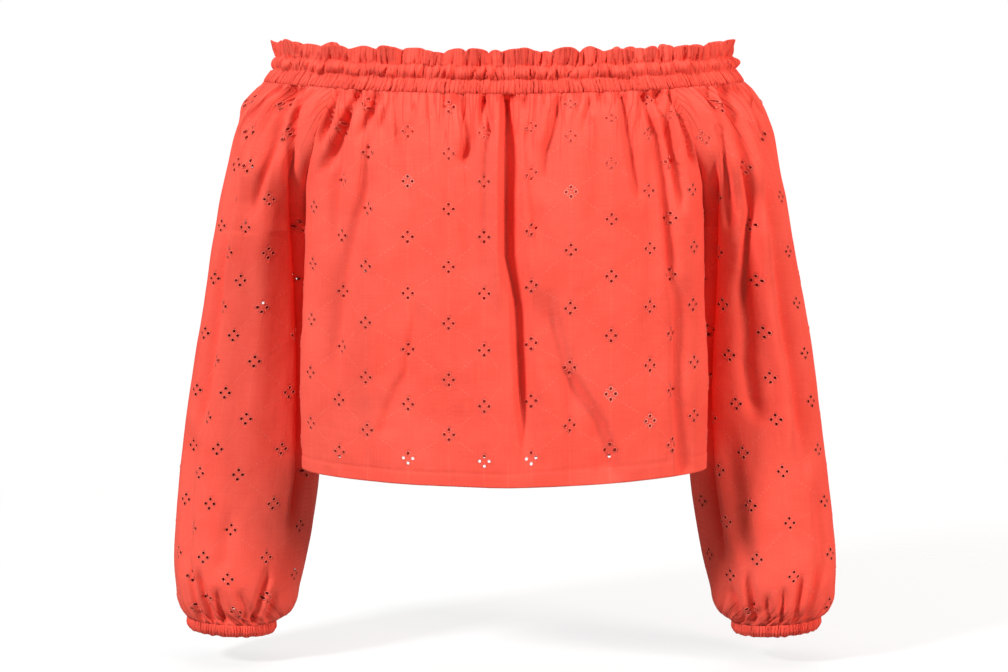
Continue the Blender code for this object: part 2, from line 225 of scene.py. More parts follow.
SLEEVE = (
    SleeveRow(-12, 214.8, 150, -2, 90, 90, 46, 46),
    SleeveRow(-30, 228.0, 156, 0, 84, 70, 63, 61),
    SleeveRow(-50, 238.5, 160, 3, 76, 57, 80, 80),
    SleeveRow(-78, 247.0, 165, 7, 70, 53, 114, 135),
    SleeveRow(-105, 253.5, 168, 10, 60, 51, 144, 155),
    SleeveRow(-135, 259.5, 170, 12, 54, 50, 180, 180),
    SleeveRow(-165, 265.5, 171, 18, 51, 48, 180, 180),
    SleeveRow(-200, 272.0, 171, 25, 50, 48, 180, 180),
    SleeveRow(-250, 281.0, 170, 32, 50, 50, 180, 180),
    SleeveRow(-310, 290.6, 169, 35, 51, 52, 180, 180),
    SleeveRow(-365, 297.8, 170.5, 34, 53, 54, 180, 180),
    SleeveRow(-400, 301.0, 175.5, 31, 55, 55, 180, 180),
    SleeveRow(-438, 303.7, 182.7, 28, 55, 55, 180, 180),
    SleeveRow(-460, 302.6, 188.5, 26, 53, 53, 180, 180),
    SleeveRow(-478, 300.2, 193.8, 25, 48, 48, 180, 180),
    SleeveRow(-486, 296.2, 200.5, 24, 43, 43, 180, 180),
    SleeveRow(-491, 291.0, 208.5, 24, 40, 40, 180, 180),
)

BAND = (
    BandRow(25.0, 13.4, 1.6),
    BandRow(17.5, 12.6, 1.2),
    BandRow(11.4, 12.0, 0.3),
    BandRow(9.2, 11.6, 0.8),
    BandRow(5.8, 11.2, 1.2),
    BandRow(2.4, 10.2, 0.8),
    BandRow(-0.6, 9.0, 0.4),
    BandRow(-6.0, 6.0, 1.2),
    BandRow(-12.0, 1.8, 0.6),
)


def lifted(level: np.ndarray, x: np.ndarray) -> np.ndarray:
    """Height of a point: its level, plus the neck's rise with x squared, less the hem's dip."""
    rise = NECK_LIFT * (1 - ramp(NECK_LEVEL, NECK_LIFT_END, level)) * (x / BODY[0].half_width) ** 2
    side = np.abs(x / BODY[-1].half_width) ** HEM_DIP_POWER
    return level + rise - HEM_DIP * ramp(HEM_DIP_START, HEM_LEVEL, level) * np.clip(1 - side, 0, 1)


def last_turn(level: np.ndarray, front: bool) -> np.ndarray:
    """Turn in radians from a sleeve's outermost point to its seam, half a circle if closed."""
    name = "front_turn" if front else "back_turn"
    return np.radians(np.minimum(column(SLEEVE, name, level), 180.0))


def seam_y(level: np.ndarray, front: bool) -> np.ndarray:
    """y of a raglan seam: the sleeve's middle and its half depth times the sine of its turn."""
    half = column(SLEEVE, "front_half" if front else "back_half", level)
    reach = np.where(level > UNDERARM_LEVEL, half * np.sin(last_turn(level, front)), 0.0)
    middle = column(SLEEVE, "middle", np.maximum(level, UNDERARM_LEVEL))
    return middle - reach if front else middle + reach


def body_section(level: np.ndarray, turn: np.ndarray) -> tuple:
    """Section of the body: a superellipse of its own depth and power before and behind.

    Args:
        level: level of each point.
        turn: turn in radians from centre front.

    Returns:
        x, y and the two parts of the outward direction.
    """
    is_front = np.abs(turn) <= np.pi / 2
    widest = column(BODY, "widest", level)
    depth = np.where(is_front, widest - column(BODY, "front", level),
                     column(BODY, "back", level) - widest)
    power = np.where(is_front, column(BODY, "front_power", level),
                     column(BODY, "back_power", level))
    width = column(BODY, "half_width", level)
    across, along = np.sin(turn), -np.cos(turn)
    size = (np.abs(across) ** power + np.abs(along) ** power) ** (-1 / power)
    out_x = np.sign(across) * np.abs(across * size) ** (power - 1) / width
    out_y = np.sign(along) * np.abs(along * size) ** (power - 1) / depth
    length = np.hypot(out_x, out_y)
    return width * across * size, widest + depth * along * size, out_x / length, out_y / length


def seam_turn(level: np.ndarray, front: bool) -> np.ndarray:
    """Turn from centre front at which the body's superellipse passes through the seam's y."""
    widest = column(BODY, "widest", level)
    drop = seam_y(level, front) - widest
    is_front = drop < 0
    depth = np.where(is_front, widest - column(BODY, "front", level),
                     column(BODY, "back", level) - widest)
    power = np.where(is_front, column(BODY, "front_power", level),
                     column(BODY, "back_power", level))
    share = np.clip(np.abs(drop) / depth, 0, 1)
    return np.arctan2((1 - share**power) ** (1 / power), -np.sign(drop) * share)


LEVELS = np.arange(NECK_LEVEL + 3, SLEEVE_END_LEVEL - 6, -2.5)
ARCS = np.arange(0.0, 330.0, 1.5)


@dataclass(frozen=True)
class ArcTable:
    """Turns at even distances round a section from its middle line, for each of LEVELS."""
    turns: np.ndarray
    reach: np.ndarray        # distance to the seam

    @staticmethod
    def measure(section: Callable, last: Callable) -> "ArcTable":
        """Add up short chords round each section and read the turns back at even distances.

        Args:
            section: gives x and y from levels and turns.
            last: gives the turn of the seam from levels.

        Returns:
            The table; past the seam its turns stay on the seam.
        """
        turns = last(LEVELS)[:, None] * np.linspace(0, 1, 241)[None]
        x, y = section(np.repeat(LEVELS[:, None], 241, axis=1), turns)
        chords = np.hypot(np.diff(x, axis=1), np.diff(y, axis=1))
        run = np.concatenate((np.zeros((len(LEVELS), 1)), np.cumsum(chords, axis=1)), axis=1)
        rows = [np.interp(ARCS, *pair) for pair in zip(run, turns)]
        return ArcTable(np.array(rows), run[:, -1])

    def end(self, level: np.ndarray) -> np.ndarray:
        """Distance from the middle line to the seam at each level."""
        return np.interp(-level, -LEVELS, self.reach)

    def turn(self, level: np.ndarray, distance: np.ndarray) -> np.ndarray:
        """Turn at a level and a distance, between the four nearest entries of the table."""
        row = np.clip((LEVELS[0] - level) / 2.5, 0, len(LEVELS) - 1.001)
        place = np.clip(distance / 1.5, 0, len(ARCS) - 1.001)
        i, j = row.astype(int), place.astype(int)
        a, b = row - i, place - j
        near = self.turns
        return ((1 - a) * ((1 - b) * near[i, j] + b * near[i, j + 1])
                + a * ((1 - b) * near[i + 1, j] + b * near[i + 1, j + 1]))


# Creases, gathers and the eyelet lattice

RELIEF = 2.9                 # every charted crease height is multiplied by this
NARROWING = 0.85             # every charted crease width is multiplied by this


@dataclass(frozen=True)
class Crease:
    """One soft crease along a path from the top down; a height below zero is a trough."""
    path: tuple
    left: float              # width of the flank at smaller x
    right: float
    height: float
    fade_in: float = 12.0
    fade_out: float = 30.0

    def push(self, across: np.ndarray, level: np.ndarray) -> np.ndarray:
        """Bell across the path with its own width on each flank, faded in and out along it.

        Args:
            across: x of each point.
            level: level of each point.

        Returns:
            The push outwards in millimetres.
        """
        drops = -np.array([point[1] for point in self.path], float)
        centre = np.interp(-level, drops, [point[0] for point in self.path])
        strength = (ramp(drops[0] - self.fade_in, drops[0] + 0.5 * self.fade_in, -level)
                    * (1 - ramp(drops[-1] - self.fade_out, drops[-1] + 0.4 * self.fade_out,
                                -level)))
        away = across - centre
        width = NARROWING * np.where(away < 0, self.left, self.right)
        return RELIEF * self.height * strength * np.exp(-(away / width) ** 2)


@dataclass(frozen=True)
class GatherRow:
    """Small uneven gathers that leave a gathered edge and die out in the cloth."""
    half: float              # half length of the gathered edge
    spacing: tuple           # least and greatest distance between two troughs
    depth: tuple
    reach: tuple             # least and greatest length
    width: tuple
    seed: int

    def push(self, across: np.ndarray, drop: np.ndarray) -> np.ndarray:
        """Sum of narrow bells, each on its own leaning line, fading with the drop.

        Most of what the troughs take is given back evenly, so the cloth puffs between them.

        Args:
            across: distance across the piece from its middle line.
            drop: distance from the gathered edge.

        Returns:
            The push outwards in millimetres, below zero in a trough.
        """
        random = np.random.default_rng(self.seed)
        total = np.zeros(np.broadcast(across, drop).shape)
        at = -self.half + random.uniform(*self.spacing)
        while at < self.half:
            reach = random.uniform(*self.reach) * random.uniform(0.4, 1)
            lean = random.uniform(-0.2, 0.2)
            width = random.uniform(*self.width) * (1 + drop / (1.6 * reach))
            fade = random.uniform(*self.depth) * np.exp(-(drop / reach) ** 2) * ramp(-3, 3, drop)
            away = across - at - lean * drop
            total = total - fade * np.exp(-(away / width) ** 2)
            total = total + 0.7 * fade * width / self.half
            at += random.uniform(*self.spacing)
        return total


def pinch(drop: np.ndarray) -> np.ndarray:
    """How far gathered cloth draws in at its stitch line: a bell 3 mm wide, 0.6 mm deep."""
    return 0.6 * np.exp(-(drop / 3.0) ** 2)


HOLE_CELL = 1.35             # the fine cells that an eyelet is cut from
HOLE_STEP = 3                # a hole's centre lies this many cells from its motif's centre
HOLE_RADIUS = 1.3
FINE_CELLS = 4               # fine cells on each side of a motif's centre
HOLE_RAISE = 0.22            # the edge of a hole stands proud under its stitches
EDGE_CLEAR = 8.0             # no motif's centre lies nearer a seam than this
SIDES = ((0, 1), (1, 0), (0, -1), (-1, 0))
AROUND = ((1, 0), (1, 1), (0, 1), (-1, 1), (-1, 0), (-1, -1), (0, -1), (1, -1))


class Line(NamedTuple):
    """A column or row of the repeat: where it lies, and its number, which sets its parity."""
    at: float
    number: int


@dataclass(frozen=True)
class Lattice:
    """Where the eyelet motifs lie in a piece of cloth: a charted half-drop repeat."""
    columns: tuple           # Line with at = distance across the cloth
    rows: tuple              # Line with at = distance down the cloth
    coarse_across: float
    coarse_down: float
    extra_across: tuple = ()
    extra_down: tuple = ()

    @staticmethod
    def grid_lines(lines: tuple, low: float, high: float, coarse: float, extra: tuple) -> tuple:
        """Grid lines that are fine round each motif line and coarse elsewhere.

        Args:
            lines: the motif lines, rising.
            low: first grid line.
            high: last grid line.
            coarse: widest cell between the motifs.
            extra: (start, end, step) of stretches with cells of their own size.

        Returns:
            The grid lines, and the grid index of each motif line by its number.
        """
        reach = FINE_CELLS * HOLE_CELL
        kept = [line for line in lines if low + reach + 1 < line.at < high - reach - 1]
        marks, edge = [low], low
        index = {}
        for line in kept + [Line(high + reach, 0)]:
            start = line.at - reach
            gap = start - edge
            step = coarse
            for first, last, size in extra:
                if edge < 0.5 * (first + last) < start:
                    step = size
            cells = max(1, math.ceil(gap / step))
            marks.extend(edge + gap * (np.arange(cells) + 1) / cells)
            if line.at < high:
                index[line.number] = len(marks) - 1 + FINE_CELLS
                marks.extend(start + HOLE_CELL * (np.arange(2 * FINE_CELLS) + 1))
                edge = line.at + reach
        return np.array(marks), index, kept


class ClothMesh(NamedTuple):
    """A sheet before it is laid in space."""
    across: np.ndarray       # distance across the cloth, per vertex
    down: np.ndarray         # distance down the cloth
    raised: np.ndarray       # 1 on the edges of the holes
    faces: np.ndarray        # quads, with the seam's two sides apart
    welded: np.ndarray       # the same quads with the seam's sides joined
    motifs: np.ndarray       # centres of the motifs, across and down
    numbers: np.ndarray      # their column and row numbers


def eyelet_sheet(lattice: Lattice, half: float, length: float, reach: Callable,
                 weld_from: float | None = None) -> ClothMesh:
    """Lay out a piece of cloth with four round holes in each motif of the lattice.

    The grid has fine cells round each motif. Two by two cells are left out for each hole,
    and the eight vertices round them move onto a circle. Past the seam line all vertices of
    a row are one vertex on the seam.

    Args:
        lattice: the charted repeat.
        half: half width of the grid, past the seams everywhere.
        length: length of the cloth.
        reach: gives the distance to the seam from distances across and down.
        weld_from: distance down from which the two seam lines are one.

    Returns:
        The sheet's vertices, faces and motif centres.
    """
    xs, column_at, columns = Lattice.grid_lines(lattice.columns, -half, half,
                                                lattice.coarse_across, lattice.extra_across)
    ys, row_at, rows = Lattice.grid_lines(lattice.rows, 0.0, length,
                                          lattice.coarse_down, lattice.extra_down)
    if weld_from is not None:
        nearest = int(np.argmin(np.abs(ys - weld_from)))
        ys[nearest] = weld_from
    wide, tall = len(xs), len(ys)
    across, down = np.meshgrid(xs, ys, indexing="ij")
    raised = np.zeros((wide, tall))
    solid = np.ones((wide - 1, tall - 1), bool)
    motifs, numbers = [], []
    for column_line in columns:
        for row_line in rows:
            if (column_line.number + row_line.number) % 2:
                continue
            if not EDGE_CLEAR < row_line.at < length - 1.5 * EDGE_CLEAR:
                continue
            ends = [reach(np.array([column_line.at]), np.array([row_line.at + drop]))[0]
                    for drop in (-6, 6)]
            if abs(column_line.at) > min(ends) - EDGE_CLEAR:
                continue
            i, j = column_at[column_line.number], row_at[row_line.number]
            motifs.append((column_line.at, row_line.at))
            numbers.append((column_line.number, row_line.number))
            for side in SIDES:
                a, b = i + HOLE_STEP * side[0], j + HOLE_STEP * side[1]
                solid[a - 1:a + 1, b - 1:b + 1] = False
                centre = (xs[i] + HOLE_STEP * HOLE_CELL * side[0],
                          ys[j] + HOLE_STEP * HOLE_CELL * side[1])
                for step in AROUND:
                    size = HOLE_RADIUS / math.hypot(*step)
                    across[a + step[0], b + step[1]] = centre[0] + step[0] * size
                    down[a + step[0], b + step[1]] = centre[1] + step[1] * size
                    raised[a + step[0], b + step[1]] = 1.0
    end = reach(across, down)
    past = np.abs(across) >= end - 0.25
    across = np.where(past, np.sign(across) * end, across)
    number = np.arange(wide * tall).reshape(wide, tall)
    middle = wide // 2
    first_right = np.argmax(past & (np.arange(wide)[:, None] > middle), axis=0)
    last_left = wide - 1 - np.argmax((past & (np.arange(wide)[:, None] < middle))[::-1], axis=0)
    columns_of = np.clip(np.arange(wide)[:, None], last_left[None], first_right[None])
    number = number[columns_of, np.arange(tall)[None]]
    corners = np.stack((number[:-1, :-1], number[1:, :-1], number[1:, 1:], number[:-1, 1:]), -1)
    corners = corners[solid]
    doubles = corners == np.roll(corners, -1, axis=1)
    faces = corners[doubles.sum(axis=1) < 2]
    merged = np.arange(wide * tall)
    if weld_from is not None:
        rows_welded = np.nonzero(ys > weld_from - 0.001)[0]
        merged[number[-1, rows_welded]] = number[0, rows_welded]
    return ClothMesh(across.ravel(), down.ravel(), raised.ravel(), faces, merged[faces],
                     np.array(motifs), np.array(numbers))


def new_object(name: str, places: np.ndarray, faces: np.ndarray,
               uv_maps: dict | None = None) -> bpy.types.Object:
    """Make an object from vertices in millimetres and quads.

    A quad that repeats a vertex becomes a triangle, by leaving out the repeated corner.

    Args:
        name: name of the object.
        places: vertices in millimetres, one row each.
        faces: vertex numbers, one row of four per face.
        uv_maps: for each map's name, the u and v of each corner of each face.

    Returns:
        The linked object, smooth shaded, with unused vertices left out.
    """
    used, packed = np.unique(faces, return_inverse=True)
    packed = packed.reshape(faces.shape)
    kept = packed != np.roll(packed, -1, axis=1)
    sizes = kept.sum(axis=1)
    mesh = bpy.data.meshes.new(name)
    mesh.vertices.add(len(used))
    mesh.vertices.foreach_set("co", (places[used] * MM).astype(np.float32).ravel())
    mesh.loops.add(int(sizes.sum()))
    mesh.loops.foreach_set("vertex_index", packed[kept].astype(np.int32))
    mesh.polygons.add(len(packed))
    starts = np.concatenate(([0], np.cumsum(sizes)[:-1]))
    mesh.polygons.foreach_set("loop_start", starts.astype(np.int32))
    mesh.update(calc_edges=True)
    for map_name, corners in (uv_maps or {}).items():
        layer = mesh.uv_layers.new(name=map_name)
        layer.data.foreach_set("uv", corners[kept.ravel()].astype(np.float32).ravel())
    mesh.shade_smooth()
    mesh.validate()
    piece = bpy.data.objects.new(name, mesh)
    bpy.context.scene.collection.objects.link(piece)
    return piece


def corner_values(faces: np.ndarray, *columns: np.ndarray) -> np.ndarray:
    """Values of the vertices at each corner of each face, as rows of u and v."""
    return np.column_stack([values[faces.ravel()] for values in columns])


# Finishes

class Graph:
    """A node tree with short ways to add and join nodes."""

    def __init__(self, tree: bpy.types.NodeTree) -> None:
        """Keep the tree."""
        self.tree = tree

    def add(self, kind: str, **settings: object) -> bpy.types.Node:
        """Add a node; settings name its properties, or its inputs where they match one."""
        node = self.tree.nodes.new(kind)
        for name, value in settings.items():
            if hasattr(node, name):
                setattr(node, name, value)
            else:
                node.inputs[name.replace("_", " ")].default_value = value
        return node

    def join(self, source: bpy.types.NodeSocket, target: bpy.types.NodeSocket) -> None:
        """Link two sockets."""
        self.tree.links.new(source, target)

    def wave(self, value, rate: float):
        """Size of the sine of a value times a rate: 0 at every half turn, 1 between them.

        Args:
            value: socket that is read.
            rate: radians for each unit of the value.

        Returns:
            The socket of the result.
        """
        return self.maths("ABSOLUTE", self.maths("SINE", self.maths("MULTIPLY", value, rate)))

    def maths(self, operation: str, *values: object) -> bpy.types.NodeSocket:
        """Add a Math node on sockets or numbers and return its output."""
        node = self.tree.nodes.new("ShaderNodeMath")
        node.operation = operation
        for place, value in zip(node.inputs, values):
            if isinstance(value, bpy.types.NodeSocket):
                self.join(value, place)
            else:
                place.default_value = value
        return node.outputs[0]


def group_tree(name: str, inputs: dict, outputs: dict) -> tuple:
    """Start a shader node group.

    Args:
        name: name of the group.
        inputs: socket type and default value by name.
        outputs: socket type by name.

    Returns:
        The group, its graph, its input node and its output node.
    """
    tree = bpy.data.node_groups.new(name, "ShaderNodeTree")
    for socket, (kind, value) in inputs.items():
        made = tree.interface.new_socket(name=socket, in_out="INPUT", socket_type=kind)
        if value is not None:
            made.default_value = value
    for socket, kind in outputs.items():
        tree.interface.new_socket(name=socket, in_out="OUTPUT", socket_type=kind)
    graph = Graph(tree)
    return tree, graph, graph.add("NodeGroupInput"), graph.add("NodeGroupOutput")


FLOAT, VECTOR = "NodeSocketFloat", "NodeSocketVector"


class WeaveGroup:
    """Plain weave: warp and weft threads that pass over each other, with a few slubs."""

    def __init__(self) -> None:
        """Build the group: the product of two thread waves, and noise stretched along each."""
        tree, graph, given, result = group_tree(
            "Plain weave", {"Place": (VECTOR, None), "Threads": (FLOAT, 1500.0)},
            {"Height": FLOAT, "Slub": FLOAT})
        parts = graph.add("ShaderNodeSeparateXYZ")
        graph.join(given.outputs["Place"], parts.inputs[0])
        turns = graph.maths("MULTIPLY", given.outputs["Threads"], math.pi)
        warp = graph.maths("SINE", graph.maths("MULTIPLY", parts.outputs[0], turns))
        weft = graph.maths("SINE", graph.maths("MULTIPLY", parts.outputs[1], turns))
        graph.join(graph.maths("MULTIPLY_ADD", graph.maths("MULTIPLY", warp, weft), 0.5, 0.5),
                   result.inputs["Height"])
        slubs = []
        for scale in ((900.0, 40.0, 1.0), (40.0, 900.0, 1.0)):
            stretch = graph.add("ShaderNodeMapping")
            stretch.inputs["Scale"].default_value = scale
            graph.join(given.outputs["Place"], stretch.inputs["Vector"])
            noise = graph.add("ShaderNodeTexNoise", Scale=1.0, Detail=2.0, Roughness=0.55)
            graph.join(stretch.outputs[0], noise.inputs["Vector"])
            slubs.append(noise.outputs["Fac"])
        graph.join(graph.maths("MULTIPLY", graph.maths("ADD", *slubs), 0.5),
                   result.inputs["Slub"])
        self.tree = tree


class TrellisGroup:
    """Tonal stitches between the motifs: dashes on the links, a small sprig midway."""

    def __init__(self) -> None:
        """Build the group from distances to the links of the half-drop lattice."""
        tree, graph, given, result = group_tree(
            "Tonal trellis", {"Lattice": (VECTOR, None)}, {"Stitch": FLOAT})
        parts = graph.add("ShaderNodeSeparateXYZ")
        graph.join(given.outputs["Lattice"], parts.inputs[0])
        across, down = parts.outputs[0], parts.outputs[1]
        rising = graph.maths("ADD", across, down)
        falling = graph.maths("SUBTRACT", across, down)
        lines = []
        for line, way in ((rising, falling), (falling, rising)):
            near = graph.wave(line, math.pi / 2)
            thin = graph.add("ShaderNodeMapRange", From_Min=0.03, From_Max=0.09,
                             To_Min=1.0, To_Max=0.0)
            graph.join(near, thin.inputs["Value"])
            dash = graph.maths("GREATER_THAN",
                               graph.maths("SINE", graph.maths("MULTIPLY", way, math.pi * 11)), 0.1)
            middle = graph.wave(way, math.pi / 2)
            gate = graph.add("ShaderNodeMapRange", From_Min=0.55, From_Max=0.95,
                             To_Min=0.0, To_Max=1.0)
            graph.join(middle, gate.inputs["Value"])
            lines.append(graph.maths("MULTIPLY", graph.maths("MULTIPLY", thin.outputs[0], dash),
                                     gate.outputs[0]))
        upright = graph.wave(across, math.pi)
        thin = graph.add("ShaderNodeMapRange", From_Min=0.03, From_Max=0.1,
                         To_Min=1.0, To_Max=0.0)
        graph.join(upright, thin.inputs["Value"])
        dash = graph.maths("GREATER_THAN",
                           graph.maths("SINE", graph.maths("MULTIPLY", down, math.pi * 12)), 0.0)
        lines.append(graph.maths("MULTIPLY", graph.maths("MULTIPLY", thin.outputs[0], dash), 0.5))
        graph.join(graph.maths("MAXIMUM", graph.maths("MAXIMUM", lines[0], lines[1]), lines[2]),
                   result.inputs["Stitch"])
        self.tree = tree


class CrinkleGroup:
    """The slight crumple and uneven dye of pressed cotton, on object coordinates."""

    def __init__(self) -> None:
        """Build the group from a broad and a fine noise."""
        tree, graph, given, result = group_tree(
            "Cotton crinkle", {"Place": (VECTOR, None)}, {"Height": FLOAT, "Dye": FLOAT})
        for scale, detail, socket in ((120.0, 3.0, "Height"), (22.0, 2.0, "Dye")):
            noise = graph.add("ShaderNodeTexNoise", Scale=scale, Detail=detail, Roughness=0.5)
            graph.join(given.outputs["Place"], noise.inputs["Vector"])
            graph.join(noise.outputs["Fac"], result.inputs[socket])
        self.tree = tree


LINES_ON_BAND = 170.0        # gather lines are this close together on the bands
# painted shade: the colour that the gather valleys of cloth and bands are darkened towards
VALLEY_PAINTED_SHADE = (0.66, 0.045, 0.030, 1)
VALLEY_DEPTH = -2.6          # the bump of a gather line, in the unit of the weave's
SLEEVE_END = 0.478           # the sleeve's gathered lower edge, in metres down the cloth


class GatherLineGroup:
    """Fine valley lines of gathered cloth, which run down it and now and then meet in a V."""

    def __init__(self) -> None:
        """Build the group: thin bands where a noise stretched down the cloth is at its middle.

        The lines fade with the distance from the neck's seam line and from the cuff's.
        """
        tree, graph, given, result = group_tree(
            "Gather lines", {"Place": (VECTOR, None), "Lines": (FLOAT, 150.0)},
            {"Valley": FLOAT, "Edge": FLOAT})
        parts = graph.add("ShaderNodeSeparateXYZ")
        graph.join(given.outputs["Place"], parts.inputs[0])
        across, down = parts.outputs[0], parts.outputs[1]
        place = graph.add("ShaderNodeCombineXYZ")
        graph.join(graph.maths("MULTIPLY", across, given.outputs["Lines"]), place.inputs[0])
        graph.join(graph.maths("MULTIPLY", down, 14.0), place.inputs[1])
        noise = graph.add("ShaderNodeTexNoise", Scale=1.0, Detail=1.0, Roughness=0.4)
        graph.join(place.outputs[0], noise.inputs["Vector"])
        away = graph.maths("ABSOLUTE", graph.maths("SUBTRACT", noise.outputs["Fac"], 0.5))
        valley = graph.add("ShaderNodeMapRange", interpolation_type="SMOOTHSTEP",
                           From_Min=0.0, From_Max=0.055, To_Min=1.0, To_Max=0.0)
        graph.join(away, valley.inputs["Value"])
        graph.join(valley.outputs[0], result.inputs["Valley"])
        broad = graph.add("ShaderNodeCombineXYZ")
        graph.join(graph.maths("MULTIPLY", across, 75.0), broad.inputs[0])
        length = graph.add("ShaderNodeTexNoise", Scale=1.0, Detail=1.0)
        graph.join(broad.outputs[0], length.inputs["Vector"])
        neck = graph.maths("DIVIDE", down, graph.maths("MULTIPLY_ADD", length.outputs["Fac"],
                                                       0.30, -0.085))
        cuff = graph.maths("DIVIDE", graph.maths("SUBTRACT", SLEEVE_END, down),
                           graph.maths("MULTIPLY_ADD", length.outputs["Fac"], 0.09, -0.02))
        fade = graph.add("ShaderNodeMapRange", interpolation_type="SMOOTHSTEP",
                         From_Min=0.05, From_Max=1.0, To_Min=1.0, To_Max=0.0)
        graph.join(graph.maths("MINIMUM", graph.maths("ABSOLUTE", neck),
                               graph.maths("ABSOLUTE", cuff)), fade.inputs["Value"])
        graph.join(fade.outputs[0], result.inputs["Edge"])
        self.tree = tree


class Thread(Enum):
    """What a finish shows besides its weave."""
    EYELET = "eyelet"        # cloth with tonal stitches between its eyelets
    GATHERED = "gathered"    # cloth drawn up on elastic
    PLAIN = "plain"          # cloth with no motif
    SATIN = "satin"          # embroidery thread


@dataclass(frozen=True)
class CottonFinish:
    """Matt red-coral cotton; the same dye on cloth, bands and embroidery thread."""
    name: str
    thread: Thread
    colour: tuple
    pale: tuple
    deep: tuple
    roughness: float
    bump: float
    groups: dict

    def material(self) -> bpy.types.Material:
        """Build the material: dye and slubs colour it, painted shade darkens its gather valleys,
        and weave, crinkle and stitches bump it.
        """
        material = bpy.data.materials.new(self.name)
        material.use_nodes = True
        graph = Graph(material.node_tree)
        shader = material.node_tree.nodes["Principled BSDF"]
        shader.inputs["Roughness"].default_value = self.roughness
        shader.inputs["Specular IOR Level"].default_value = 0.15
        shader.inputs["Sheen Weight"].default_value = 0.05
        shader.inputs["Sheen Roughness"].default_value = 0.5
        shader.inputs["Sheen Tint"].default_value = (1.0, 0.55, 0.48, 1)
        cloth = graph.add("ShaderNodeUVMap", uv_map="cloth")
        place = graph.add("ShaderNodeTexCoord").outputs["Object"]
        weave = graph.add("ShaderNodeGroup", node_tree=self.groups["weave"])
        graph.join(cloth.outputs[0], weave.inputs["Place"])
        crinkle = graph.add("ShaderNodeGroup", node_tree=self.groups["crinkle"])
        graph.join(place, crinkle.inputs["Place"])
        tone = graph.add("ShaderNodeMix", data_type="RGBA")
        tone.inputs["A"].default_value = (*self.deep, 1)
        tone.inputs["B"].default_value = (*self.colour, 1)
        level = graph.maths("MULTIPLY_ADD", weave.outputs["Slub"], 2.0,
                            graph.maths("MULTIPLY_ADD", crinkle.outputs["Dye"], 1.6, -1.3))
        graph.join(level, tone.inputs["Factor"])
        colour = tone.outputs["Result"]
        height = graph.maths("MULTIPLY_ADD", weave.outputs["Height"], 0.12,
                             graph.maths("MULTIPLY", weave.outputs["Slub"], 0.3))
        height = graph.maths("MULTIPLY_ADD", crinkle.outputs["Height"], 1.4, height)
        if self.thread is Thread.EYELET:
            lattice = graph.add("ShaderNodeUVMap", uv_map="lattice")
            trellis = graph.add("ShaderNodeGroup", node_tree=self.groups["trellis"])
            graph.join(lattice.outputs[0], trellis.inputs["Lattice"])
            paler = graph.add("ShaderNodeMix", data_type="RGBA")
            graph.join(graph.maths("MULTIPLY", trellis.outputs["Stitch"], 0.16),
                       paler.inputs["Factor"])
            graph.join(colour, paler.inputs["A"])
            paler.inputs["B"].default_value = (*self.pale, 1)
            colour = paler.outputs["Result"]
            height = graph.maths("MULTIPLY_ADD", trellis.outputs["Stitch"], 0.4, height)
        if self.thread in (Thread.EYELET, Thread.GATHERED):
            lines = graph.add("ShaderNodeGroup", node_tree=self.groups["gathers"])
            graph.join(cloth.outputs[0], lines.inputs["Place"])
            valley = lines.outputs["Valley"]
            if self.thread is Thread.EYELET:
                valley = graph.maths("MULTIPLY", valley, lines.outputs["Edge"])
            else:
                lines.inputs["Lines"].default_value = LINES_ON_BAND
            # painted shade: the gather valleys are darkened in colour as well as bumped
            shaded = graph.add("ShaderNodeMix", data_type="RGBA")
            share = 0.65 if self.thread is Thread.EYELET else 0.5
            graph.join(graph.maths("MULTIPLY", valley, share), shaded.inputs["Factor"])
            graph.join(colour, shaded.inputs["A"])
            shaded.inputs["B"].default_value = VALLEY_PAINTED_SHADE
            colour = shaded.outputs["Result"]
            height = graph.maths("MULTIPLY_ADD", valley, VALLEY_DEPTH, height)
        if self.thread is Thread.SATIN:
            floss = graph.add("ShaderNodeTexWave", Scale=900.0, Distortion=1.5)
            graph.join(place, floss.inputs["Vector"])
            height = graph.maths("MULTIPLY_ADD", floss.outputs["Fac"], 0.6, height)
        bump = graph.add("ShaderNodeBump", Strength=self.bump, Distance=0.0006)
        graph.join(height, bump.inputs["Height"])
        graph.join(colour, shader.inputs["Base Color"])
        graph.join(bump.outputs[0], shader.inputs["Normal"])
        return material


# Pieces of cloth

PANEL_LENGTH = NECK_LEVEL - SEAM_GAP - HEM_LEVEL
SHELL = 0.6                  # wall of the dressed cloth, inside the outer face of its solid


